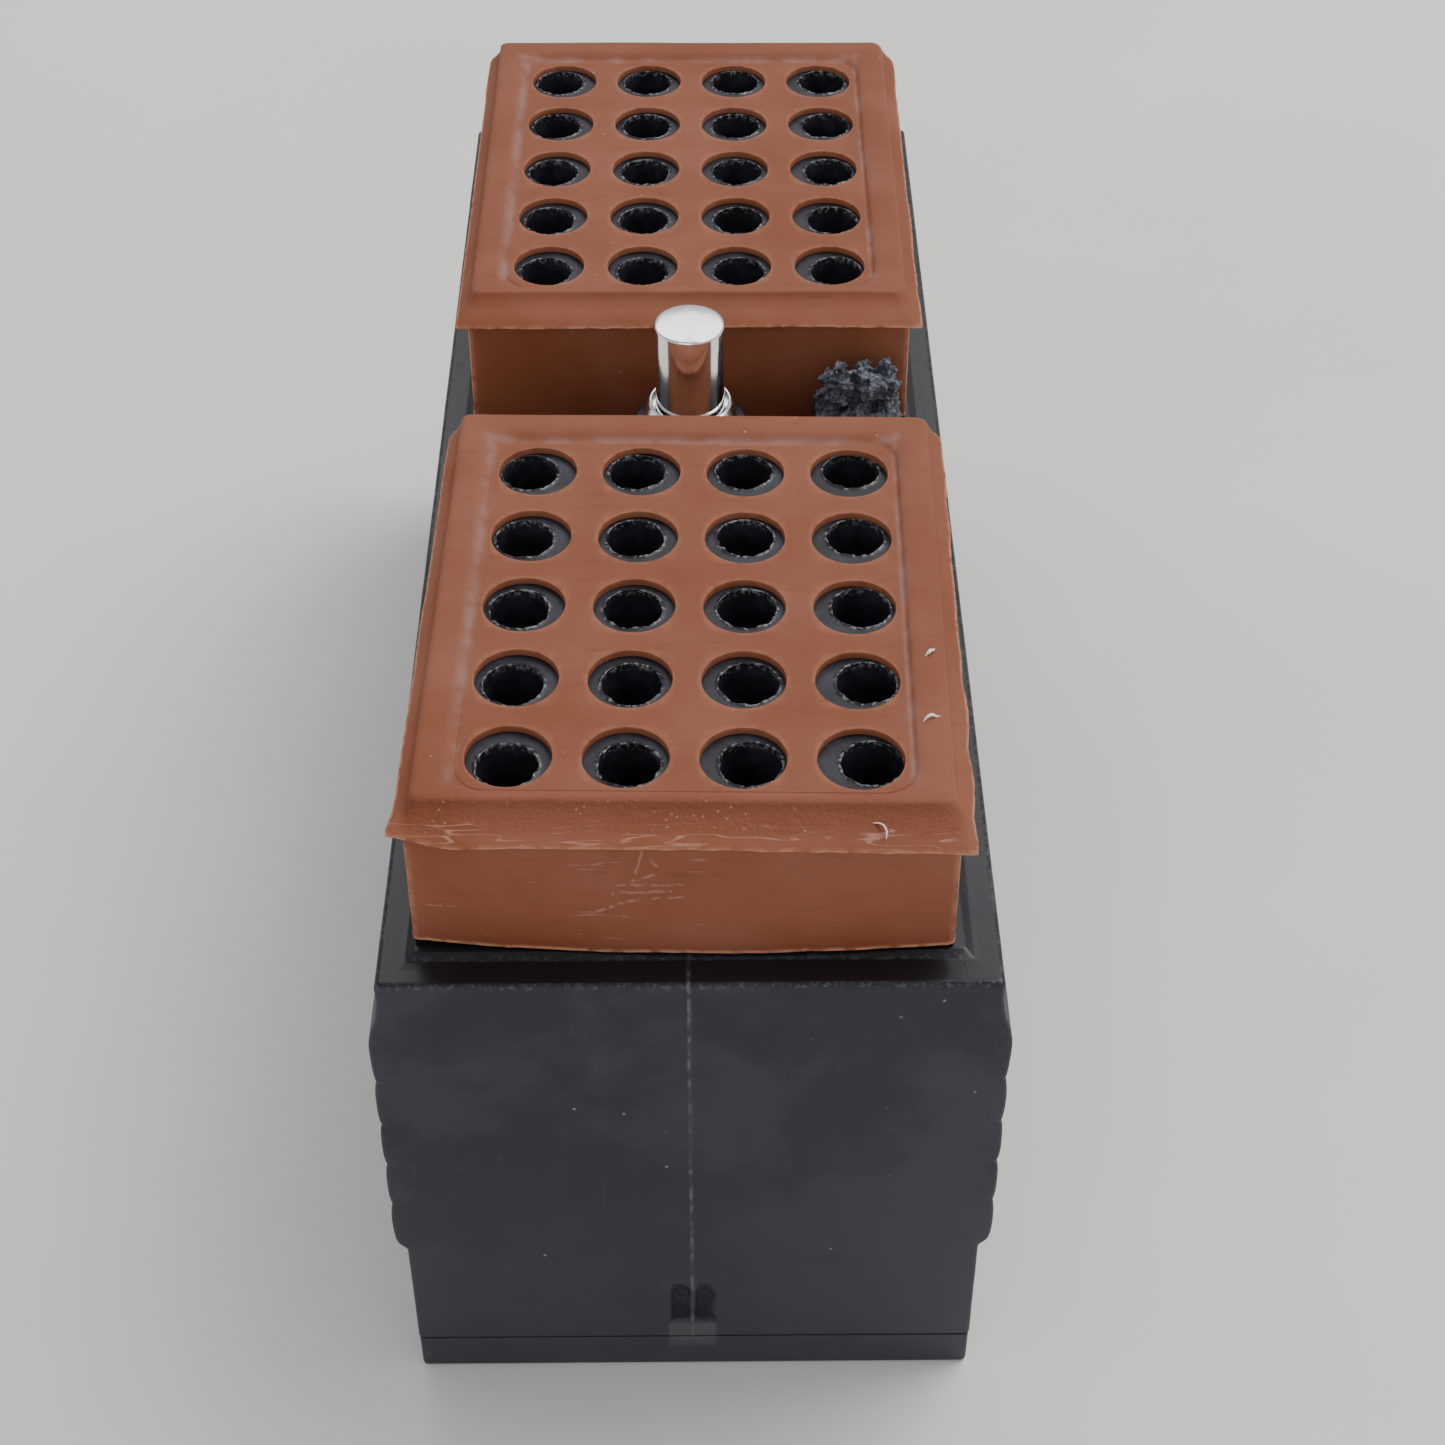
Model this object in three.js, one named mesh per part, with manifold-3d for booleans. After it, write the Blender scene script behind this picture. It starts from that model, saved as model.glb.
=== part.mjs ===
// Sealed rectangular cable plug: two moulded silicone face seals over two blocks of
// twenty contact cavities, in a ribbed thermoplastic housing with a captive jackscrew.
// Millimetres. +Z is the mating direction, +Y the long way, origin at the middle of the base.
import * as THREE from 'three';
import { mergeVertices } from 'three/addons/utils/BufferGeometryUtils.js';
import Module from 'manifold-3d';

const wasm = await Module();
wasm.setup();

// ---- driving dimensions -------------------------------------------------------------
const HALF_LENGTH = 50.2;      // housing, along Y
const HALF_WIDTH_TOP = 18.8;   // housing above the grip ribs
const HALF_WIDTH_FOOT = 19.0;  // housing below the grip ribs
const LEDGE_Z = 39.7;          // top of the housing
const PLINTH_Z = 40.0;         // raised strip round the two seals
const SEAL_TOP_Z = 49.5;       // mating face
const BLOCK_Y = 26.76;         // centre of each contact block, +/- Y
const COLUMNS = 4;
const ROWS = 5;
const SEAL_PITCH = 7.0;        // the silicone shrinks a little after moulding,
const INSERT_PITCH = 7.25;     // so its holes sit closer than the bores under them
const GAP = 0.3;               // between pieces that touch

const SKIRT = { x: 16.2, y: 20.3 };         // outside of the seal's skirt, half sizes
const SEAL_CAVITY = { x: 15.0, y: 19.1 };   // inside of the skirt
const SEAL_WEB = 0.5;                       // thickness of the perforated face
const SEAL_HOLE_R = 2.62;          // holes in the seals

const POCKET = { x: 15.6, y: 19.6 };        // one through pocket in the housing per block
const BLOCK = { x: POCKET.x - GAP, y: POCKET.y - GAP };
const TOWER = { x: SEAL_CAVITY.x - GAP, y: SEAL_CAVITY.y - GAP };
const CONTACT_BORE_R = 1.85;
const CLIP_BORE_R = 2.3;
const WIRE_HOLE_R = 1.3;
const COVER_TOP_Z = 3.0;
const GROMMET_TOP_Z = 8.0;
const CARRIER_TOP_Z = 22.0;

const RIB_COUNT = 5;
const RIB_BOTTOM_Z = 14.2;
const RIB_PITCH = 4.1;
const RIB_HALF_WIDTH = 19.8;
const RIB_NOTCH = 0.4;         // how far each notch steps in
const RIB_SETBACK = 0.5;       // the rib pad stops short of the end faces

const SHANK_R = 2.5;           // jackscrew
const SCREW_TOP_Z = 52.9;
const HEAD = { r: 4.3, z0: 4.5, z1: 10.5 };
const HEX_SOCKET_R = 2.31;     // 4 mm across flats
const HEAD_WELL_R = 4.9;
const SHOULDER_Z = 13.4;       // the screw's upper stop
const BOSS = { r: 4.3, z: 44.4 };
const SLEEVE_R = 3.2;
const RING = { r: 3.35, z0: 44.8, z1: 46.4 };
const KEY = { x0: 8.9, x1: 15.7, y0: 1.0, y1: 5.2, z0: 38.3, z1: 47.4 };

// ---- materials ----------------------------------------------------------------------
const finish = (color, roughness, metalness = 0) =>
  new THREE.MeshStandardMaterial({ color, roughness, metalness });
const blackPlastic = finish(0x2b2d33, 0.62);
const insertPlastic = finish(0x1d1e22, 0.5);
const silicone = finish(0x96583f, 0.6);
const chrome = finish(0xd8d8d6, 0.12, 1);
const springBronze = finish(0xb08a4a, 0.35, 1);
const nitrile = finish(0x18181a, 0.7);
const keyPlastic = finish(0x4a505b, 0.85);

// ---- helpers ------------------------------------------------------------------------
function solid(geometry) {
  geometry.deleteAttribute('normal');
  geometry.deleteAttribute('uv');
  const merged = mergeVertices(geometry, 1e-4);
  return new wasm.Manifold(new wasm.Mesh({
    numProp: 3,
    vertProperties: new Float32Array(merged.attributes.position.array),
    triVerts: new Uint32Array(merged.index.array),
  }));
}

const part = new THREE.Group();

function addPart(name, body, material) {
  const { vertProperties, triVerts } = body.getMesh();
  const geometry = new THREE.BufferGeometry();
  geometry.setAttribute('position', new THREE.BufferAttribute(new Float32Array(vertProperties), 3));
  geometry.setIndex(new THREE.BufferAttribute(new Uint32Array(triVerts), 1));
  const mesh = new THREE.Mesh(geometry, material);
  mesh.name = name;
  part.add(mesh);
}

// A box between two heights, whose half sizes may differ at the bottom and the top.
function frustum(low, high, z0, z1, y = 0) {
  const geometry = new THREE.BoxGeometry(2, 2, z1 - z0);
  const p = geometry.attributes.position;
  for (let i = 0; i < p.count; i++) {
    const size = p.getZ(i) < 0 ? low : high;
    p.setXYZ(i, p.getX(i) * size.x, p.getY(i) * size.y + y, p.getZ(i) + (z0 + z1) / 2);
  }
  return solid(geometry);
}

const block = (size, z0, z1, y = 0) => frustum(size, size, z0, z1, y);

function cylinder(r, z0, z1, x = 0, y = 0, sides = 24) {
  const geometry = new THREE.CylinderGeometry(r, r, z1 - z0, sides);
  geometry.rotateX(Math.PI / 2);
  geometry.translate(x, y, (z0 + z1) / 2);
  return solid(geometry);
}

// A turned ring or shaft about Z; the profile is a closed loop of [radius, height].
function turned(profile, sides = 32) {
  const points = profile.map(([r, z]) => new THREE.Vector2(r, z));
  const geometry = new THREE.LatheGeometry(points, sides);
  geometry.rotateX(Math.PI / 2);
  return solid(geometry);
}

const tube = (r0, r1, z0, z1, sides = 24) =>
  turned([[r0, z0], [r1, z0], [r1, z1], [r0, z1], [r0, z0]], sides);

function* cavities(pitch, y) {
  for (let row = 0; row < ROWS; row++) {
    for (let column = 0; column < COLUMNS; column++) {
      yield {
        name: `r${row + 1}c${column + 1}`,
        x: (column - (COLUMNS - 1) / 2) * pitch,
        y: y + (row - (ROWS - 1) / 2) * pitch,
      };
    }
  }
}

function pierce(body, pitch, y, r, sides) {
  const z0 = -1;
  const z1 = SCREW_TOP_Z;
  let cut = body;
  for (const cavity of cavities(pitch, y)) {
    cut = cut.subtract(cylinder(r, z0, z1, cavity.x, cavity.y, sides));
  }
  return cut;
}

// ---- housing ------------------------------------------------------------------------
// Outline of one rib pad in X and Z: rounded ribs, each stepping in at the notch below it.
function ribPadShape() {
  const shape = new THREE.Shape();
  const top = RIB_BOTTOM_Z + RIB_COUNT * RIB_PITCH + 3.4;
  shape.moveTo(0, RIB_BOTTOM_Z);
  shape.lineTo(HALF_WIDTH_FOOT, RIB_BOTTOM_Z);
  for (let i = 0; i < RIB_COUNT; i++) {
    const z0 = RIB_BOTTOM_Z + i * RIB_PITCH;
    const z1 = i === RIB_COUNT - 1 ? top : z0 + RIB_PITCH;
    const end = i === RIB_COUNT - 1 ? HALF_WIDTH_TOP : RIB_HALF_WIDTH - RIB_NOTCH;
    shape.lineTo(RIB_HALF_WIDTH - RIB_NOTCH, z0 + 0.1);
    shape.lineTo(RIB_HALF_WIDTH, z0 + 0.9);
    shape.lineTo(RIB_HALF_WIDTH, z0 + 2.6);
    shape.lineTo(end, z1);
  }
  shape.lineTo(0, top);
  return shape;
}

function ribPads() {
  const length = 2 * (HALF_LENGTH - RIB_SETBACK);
  const geometry = new THREE.ExtrudeGeometry(ribPadShape(), { depth: length, bevelEnabled: false });
  geometry.rotateX(Math.PI / 2);
  geometry.translate(0, length / 2, 0);
  const right = solid(geometry);
  return right.add(right.mirror([1, 0, 0]));
}

function housing() {
  const z0 = COVER_TOP_Z + GAP;
  const foot = { x: HALF_WIDTH_FOOT, y: HALF_LENGTH };
  const crown = { x: HALF_WIDTH_TOP, y: HALF_LENGTH };
  const plinthLow = { x: SKIRT.x + 0.8, y: BLOCK_Y + SKIRT.y + 1.0 };
  const plinthHigh = { x: SKIRT.x + 0.35, y: BLOCK_Y + SKIRT.y + 0.45 };
  let body = frustum(foot, crown, z0, LEDGE_Z)
    .add(ribPads())
    .add(frustum(plinthLow, plinthHigh, LEDGE_Z - 0.1, PLINTH_Z))
    .add(cylinder(BOSS.r, LEDGE_Z, BOSS.z));
  for (const y of [-BLOCK_Y, BLOCK_Y]) {
    body = body.subtract(block(POCKET, 0, PLINTH_Z + 1, y));
  }
  const keySocket = new THREE.BoxGeometry(
    KEY.x1 - KEY.x0 + 2 * GAP, KEY.y1 - KEY.y0 + 2 * GAP, SCREW_TOP_Z - KEY.z0);
  keySocket.translate((KEY.x0 + KEY.x1) / 2, (KEY.y0 + KEY.y1) / 2,
    (SCREW_TOP_Z + KEY.z0) / 2 - GAP);
  return body
    .subtract(cylinder(HEAD_WELL_R, 0, SHOULDER_Z))
    .subtract(cylinder(SHANK_R + 0.25, 0, SCREW_TOP_Z))
    .subtract(cylinder(SLEEVE_R + 0.2, SHOULDER_Z + 4, SCREW_TOP_Z))
    .subtract(solid(keySocket));
}
addPart('housing', housing(), blackPlastic);

function rearCover() {
  let cover = block({ x: HALF_WIDTH_FOOT - 0.05, y: HALF_LENGTH - 0.05 }, 0, COVER_TOP_Z);
  for (const y of [-BLOCK_Y, BLOCK_Y]) {
    cover = cover.subtract(block({ x: 13.4, y: 17.4 }, -1, COVER_TOP_Z + 1, y));
  }
  return cover.subtract(cylinder(HEAD_WELL_R, -1, COVER_TOP_Z + 1));
}
addPart('rear_cover', rearCover(), blackPlastic);

// ---- the two contact blocks -----------------------------------------------------------
function interfaceSeal(y) {
  const ridge = { x: 16.1, y: 19.9 };
  const panel = { x: 13.7, y: 17.1 };
  const lip = { x: 17.05, y: 20.8 };
  const ridgeZ = SEAL_TOP_Z - 0.25;
  const lipZ = SEAL_TOP_Z - 1.2;
  const body = block(SKIRT, PLINTH_Z + GAP, lipZ + 0.3, y)
    .add(frustum(lip, ridge, lipZ, ridgeZ, y))
    .add(frustum(ridge, panel, ridgeZ - 0.01, SEAL_TOP_Z, y))
    .subtract(block(SEAL_CAVITY, 0, SEAL_TOP_Z - SEAL_WEB, y));
  return pierce(body, SEAL_PITCH, y, SEAL_HOLE_R, 16);
}

function contactInsert(y) {
  const body = block(BLOCK, CARRIER_TOP_Z + GAP, PLINTH_Z, y)
    .add(block(TOWER, PLINTH_Z - 1, SEAL_TOP_Z - SEAL_WEB - GAP, y));
  return pierce(body, INSERT_PITCH, y, CONTACT_BORE_R, 10);
}

// Split spring sleeve that grips one crimped contact.
function contactClip(x, y) {
  const slit = 0.45;
  const shape = new THREE.Shape();
  shape.absarc(0, 0, 1.95, slit, 2 * Math.PI - slit, false);
  shape.absarc(0, 0, 1.6, 2 * Math.PI - slit, slit, true);
  const z0 = GROMMET_TOP_Z + GAP + 0.1;
  const geometry = new THREE.ExtrudeGeometry(shape, {
    depth: CARRIER_TOP_Z - z0, bevelEnabled: false, curveSegments: 6,
  });
  geometry.translate(x, y, z0);
  return solid(geometry);
}

for (const [side, y] of [['front', -BLOCK_Y], ['back', BLOCK_Y]]) {
  addPart(`interface_seal_${side}`, interfaceSeal(y), silicone);
  addPart(`contact_insert_${side}`, contactInsert(y), insertPlastic);
  const carrier = block(BLOCK, GROMMET_TOP_Z + GAP, CARRIER_TOP_Z, y);
  addPart(`clip_carrier_${side}`, pierce(carrier, INSERT_PITCH, y, CLIP_BORE_R, 8), insertPlastic);
  const grommet = block(BLOCK, COVER_TOP_Z + GAP, GROMMET_TOP_Z, y);
  addPart(`wire_grommet_${side}`, pierce(grommet, INSERT_PITCH, y, WIRE_HOLE_R, 8), silicone);
  for (const cavity of cavities(INSERT_PITCH, y)) {
    addPart(`contact_clip_${side}_${cavity.name}`, contactClip(cavity.x, cavity.y), springBronze);
  }
}

// ---- captive jackscrew ----------------------------------------------------------------
function jackscrew() {
  const groove = 2.1;
  const chamfer = 0.3;
  const body = turned([
    [0, HEAD.z0], [HEAD.r - chamfer, HEAD.z0], [HEAD.r, HEAD.z0 + chamfer], [HEAD.r, HEAD.z1],
    [SHANK_R, HEAD.z1], [SHANK_R, RING.z0 - 0.2], [groove, RING.z0 - 0.2],
    [groove, RING.z0 + 1.2], [SHANK_R, RING.z0 + 1.2],
    [SHANK_R, SCREW_TOP_Z - chamfer], [SHANK_R - chamfer, SCREW_TOP_Z], [0, SCREW_TOP_Z],
  ]);
  return body.subtract(cylinder(HEX_SOCKET_R, HEAD.z0 - 1, HEAD.z0 + 4, 0, 0, 6));
}
addPart('jackscrew', jackscrew(), chrome);

// Snapped into the screw's groove, flared towards the mating side.
addPart('retaining_ring', turned([
  [2.25, RING.z0], [RING.r, RING.z0], [RING.r, RING.z0 + 0.7], [RING.r - 0.35, RING.z1],
  [2.7, RING.z1], [2.7, RING.z0 + 1.0], [2.25, RING.z0 + 1.0], [2.25, RING.z0],
]), chrome);
addPart('thrust_washer', tube(2.7, 4.2, HEAD.z1 + GAP, HEAD.z1 + 1.3), chrome);
addPart('shank_o_ring', tube(2.62, SLEEVE_R, SHOULDER_Z + 4.3, SHOULDER_Z + 6.1), nitrile);
addPart('guide_sleeve', tube(2.68, SLEEVE_R, SHOULDER_Z + 6.5, BOSS.z - 0.2), chrome);

// ---- polarising key -------------------------------------------------------------------
function polarisingKey() {
  const low = { x: (KEY.x1 - KEY.x0) / 2, y: (KEY.y1 - KEY.y0) / 2 };
  const high = { x: low.x - 0.5, y: low.y - 0.6 };
  return frustum(low, low, KEY.z0, KEY.z1 - 2.2)
    .add(frustum(low, high, KEY.z1 - 2.3, KEY.z1))
    .translate([(KEY.x0 + KEY.x1) / 2, (KEY.y0 + KEY.y1) / 2, 0]);
}
addPart('polarising_key', polarisingKey(), keyPlastic);

export default part;
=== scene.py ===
"""Looks of the sealed rectangular connector plug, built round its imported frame."""

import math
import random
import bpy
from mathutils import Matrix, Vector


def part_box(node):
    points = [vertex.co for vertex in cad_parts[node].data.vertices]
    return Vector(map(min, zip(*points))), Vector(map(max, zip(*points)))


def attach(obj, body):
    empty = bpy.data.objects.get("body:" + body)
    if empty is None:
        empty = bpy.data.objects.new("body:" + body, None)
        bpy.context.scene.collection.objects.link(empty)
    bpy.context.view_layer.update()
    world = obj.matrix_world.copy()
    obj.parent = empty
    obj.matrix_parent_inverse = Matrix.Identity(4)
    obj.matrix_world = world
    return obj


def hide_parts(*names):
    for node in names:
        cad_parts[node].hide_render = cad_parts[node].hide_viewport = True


bl_info = {
    "name": "Sealed connector plug",
    "version": (1, 0, 0),
    "blender": (4, 5, 0),
    "location": "View3D > Sidebar > Plug",
    "description": "Builds a two-block sealed plug: silicone seals, inserts, ribbed housing and jackscrew",
    "category": "Object",
}

import bmesh
import bpy
from bpy.props import FloatProperty, FloatVectorProperty, PointerProperty
from mathutils import Matrix, Vector, noise

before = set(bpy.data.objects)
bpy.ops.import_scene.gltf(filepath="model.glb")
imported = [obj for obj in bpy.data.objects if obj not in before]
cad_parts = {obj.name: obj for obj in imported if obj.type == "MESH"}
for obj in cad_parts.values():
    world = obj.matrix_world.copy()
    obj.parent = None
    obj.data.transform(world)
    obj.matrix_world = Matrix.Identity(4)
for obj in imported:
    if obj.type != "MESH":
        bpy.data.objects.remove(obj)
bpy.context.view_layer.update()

MM = 0.001
SHELL, FLOAT, TURN = "shell", "jackscrew_float", "jackscrew_turn"
SIDES = ("front", "back")
COLUMNS, ROWS = 4, 5


def span(node):
    """Lowest and highest corner of a CAD node, in millimetres."""
    low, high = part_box(node)
    return low / MM, high / MM


HOUSING_LOW, HOUSING_HIGH = span("housing")
COVER_HIGH = span("rear_cover")[1]
SEAL_LOW, SEAL_HIGH = span("interface_seal_front")
SEAL_TOP = SEAL_HIGH.z
LIP_X, LIP_Y = SEAL_HIGH.x, (SEAL_HIGH.y - SEAL_LOW.y) / 2  # half size of a seal over its lip
BLOCK_Y = {side: sum(c.y for c in span(f"interface_seal_{side}")) / 2 for side in SIDES}


# ---- shape helpers, all in millimetres ----------------------------------------------

def smooth(value, low, high):
    """0 below low, 1 above high, and an S curve between."""
    t = min(max((value - low) / (high - low), 0.0), 1.0)
    return t * t * (3 - 2 * t)


def fade(value, low, high):
    """1 below low, 0 above high, and an S curve between."""
    return 1 - smooth(value, low, high)


def wobble(x, y, z=0.0, size=1.0):
    """Smooth noise between about -1 and 1 whose lumps are size across."""
    return noise.noise(Vector((x / size, y / size, z / size)))


class Skin:
    """A mesh given by the corner points of its faces; equal points become one vertex."""

    def __init__(self):
        self.points = {}
        self.faces = []

    def point(self, co):
        return self.points.setdefault(tuple(round(c, 4) for c in co), len(self.points))

    def face(self, *corners):
        ids = [self.point(c) for c in corners]
        ids = [i for k, i in enumerate(ids) if i != ids[k - 1]]
        if len(ids) > 2:
            self.faces.append(ids)

    def strip(self, ring, other):
        """Quads between two closed rings of as many points."""
        for k in range(len(ring)):
            self.face(ring[k - 1], ring[k], other[k], other[k - 1])

    def loft(self, rings):
        for ring, other in zip(rings, rings[1:]):
            self.strip(ring, other)

    def fill(self, *loops):
        """Flat triangles inside the first loop and outside the others."""
        bm = bmesh.new()
        for loop in loops:
            verts = [bm.verts.new(co) for co in loop]
            for k in range(len(verts)):
                bm.edges.new((verts[k - 1], verts[k]))
        bmesh.ops.triangle_fill(bm, use_beauty=True, edges=bm.edges[:])
        for triangle in bm.faces:
            self.face(*(v.co for v in triangle.verts))
        bm.free()

    def build(self, name, shape=None, marks=None, crease=38.0):
        """The object in metres. shape moves a point; marks name the values kept per point."""
        shape = shape or (lambda co: co)
        rest = [Vector(co) for co in self.points]
        mesh = bpy.data.meshes.new(name)
        mesh.from_pydata([shape(co.copy()) * MM for co in rest], [], self.faces)
        bm = bmesh.new()
        bm.from_mesh(mesh)
        bmesh.ops.recalc_face_normals(bm, faces=bm.faces[:])
        bm.to_mesh(mesh)
        bm.free()
        for mark, value in (marks or {}).items():
            attribute = mesh.attributes.new(mark, "FLOAT", "POINT")
            attribute.data.foreach_set("value", [value(co) for co in rest])
        return finish_mesh(name, mesh, crease)


def finish_mesh(name, mesh, crease=38.0):
    """An object of that mesh, smooth but for edges sharper than crease degrees."""
    mesh.shade_smooth()
    mesh.set_sharp_from_angle(angle=math.radians(crease))
    obj = bpy.data.objects.new(name, mesh)
    bpy.context.scene.collection.objects.link(obj)
    return obj


def circle(x, y, r, z, count, phase=0.0):
    turn = 2 * math.pi / count
    return [(x + r * math.cos(phase + k * turn), y + r * math.sin(phase + k * turn), z)
            for k in range(count)]


def rectangle(x0, x1, y0, y1, z, steps=8):
    """A closed loop with steps points on each side."""
    corners = [(x0, y0), (x1, y0), (x1, y1), (x0, y1)]
    loop = []
    for (ax, ay), (bx, by) in zip(corners, corners[1:] + corners[:1]):
        loop += [(ax + (bx - ax) * k / steps, ay + (by - ay) * k / steps, z) for k in range(steps)]
    return loop


def turned(profile, sides):
    """A skin turned about Z from (radius, height) pairs; radius 0 closes it."""
    skin = Skin()
    skin.loft([circle(0, 0, r, z, sides) for r, z in profile])
    return skin


# ---- perforated blocks --------------------------------------------------------------

def rounded(x, y, hx, hy, radius):
    """Pulls a point that is in a corner of the rectangle onto the corner's arc."""
    cx, cy = hx - radius, hy - radius
    dx, dy = abs(x) - cx, abs(y) - cy
    if dx <= 0 or dy <= 0:
        return x, y
    reach = max(dx, dy) / math.hypot(dx, dy)
    return math.copysign(cx + dx * reach, x), math.copysign(cy + dy * reach, y)


class PiercedBlock:
    """A block about its own centre with a 4 by 5 grid of holes, as one closed skin."""

    def __init__(self, pitch, hx, hy, radius, steps, shift=(0.0, 0.0)):
        self.steps = steps
        self.pitch, self.shift = pitch, shift
        self.hx, self.hy, self.radius = hx, hy, radius
        self.xs = [-hx] + [(c - COLUMNS / 2) * pitch[0] for c in range(1, COLUMNS)] + [hx]
        self.ys = [-hy] + [(r - ROWS / 2) * pitch[1] for r in range(1, ROWS)] + [hy]
        self.skin = Skin()

    def cells(self):
        for c in range(COLUMNS):
            for r in range(ROWS):
                centre = ((c - (COLUMNS - 1) / 2) * self.pitch[0] + self.shift[0],
                          (r - (ROWS - 1) / 2) * self.pitch[1] + self.shift[1])
                yield centre, (self.xs[c], self.xs[c + 1], self.ys[r], self.ys[r + 1])

    def field(self, z, r, rings=2):
        """The flat face at height z, from each hole's edge out to the grid's outline."""
        for (cx, cy), (x0, x1, y0, y1) in self.cells():
            edge = [(*rounded(x, y, self.hx, self.hy, self.radius), z)
                    for x, y, _ in rectangle(x0, x1, y0, y1, z, self.steps)]
            hole = circle(cx, cy, r, z, 4 * self.steps, -0.75 * math.pi)
            previous = hole
            for k in range(1, rings + 1):
                t = k / rings
                ring = [tuple(a + (b - a) * t for a, b in zip(p, q)) for p, q in zip(hole, edge)]
                self.skin.strip(previous, ring)
                previous = ring

    def bores(self, profile):
        """The holes' walls from (radius, height) pairs, top to bottom."""
        for (cx, cy), _ in self.cells():
            self.skin.loft([circle(cx, cy, r, z, 4 * self.steps, -0.75 * math.pi) for r, z in profile])

    def outline(self, hx, hy, radius, z, lean=0.0):
        """The outline of the grid, stretched to half sizes hx and hy and moved by lean along Y."""
        ring = []
        lines = [(x, -self.hy) for x in self.ticks(self.xs)] + [(self.hx, y) for y in self.ticks(self.ys)]
        lines += [(-x, -y) for x, y in lines]
        for x, y in lines:
            px, py = x * hx / self.hx, y * hy / self.hy
            px, py = rounded(px, py, hx, hy, radius)
            ring.append((px, py + lean, z))
        return ring

    def ticks(self, stops):
        return [a + (b - a) * k / self.steps for a, b in zip(stops, stops[1:]) for k in range(self.steps)]

    def sides(self, profile):
        """The outside from (half x, half y, corner radius, height[, lean]) rows, top to bottom."""
        self.skin.loft([self.outline(*row) for row in profile])


# ---- shader helpers -----------------------------------------------------------------

class Wire:
    """A node socket; arithmetic on it adds Math nodes to its tree."""

    def __init__(self, socket):
        self.socket = socket

    def math(self, operation, *terms):
        tree = self.socket.id_data
        node = tree.nodes.new("ShaderNodeMath")
        node.operation = operation
        for socket, term in zip(node.inputs, terms):
            connect(tree, term, socket)
        return Wire(node.outputs[0])

    def __add__(self, other):
        return self.math("ADD", self, other)

    def __radd__(self, other):
        return self.math("ADD", other, self)

    def __sub__(self, other):
        return self.math("SUBTRACT", self, other)

    def __rsub__(self, other):
        return self.math("SUBTRACT", other, self)

    def __mul__(self, other):
        return self.math("MULTIPLY", self, other)

    def __rmul__(self, other):
        return self.math("MULTIPLY", other, self)

    def __abs__(self):
        return self.math("ABSOLUTE", self)


def connect(tree, source, socket):
    """Feeds a socket from a wire, or sets it to a value."""
    if isinstance(source, Wire):
        tree.links.new(source.socket, socket)
    else:
        socket.default_value = source


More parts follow.
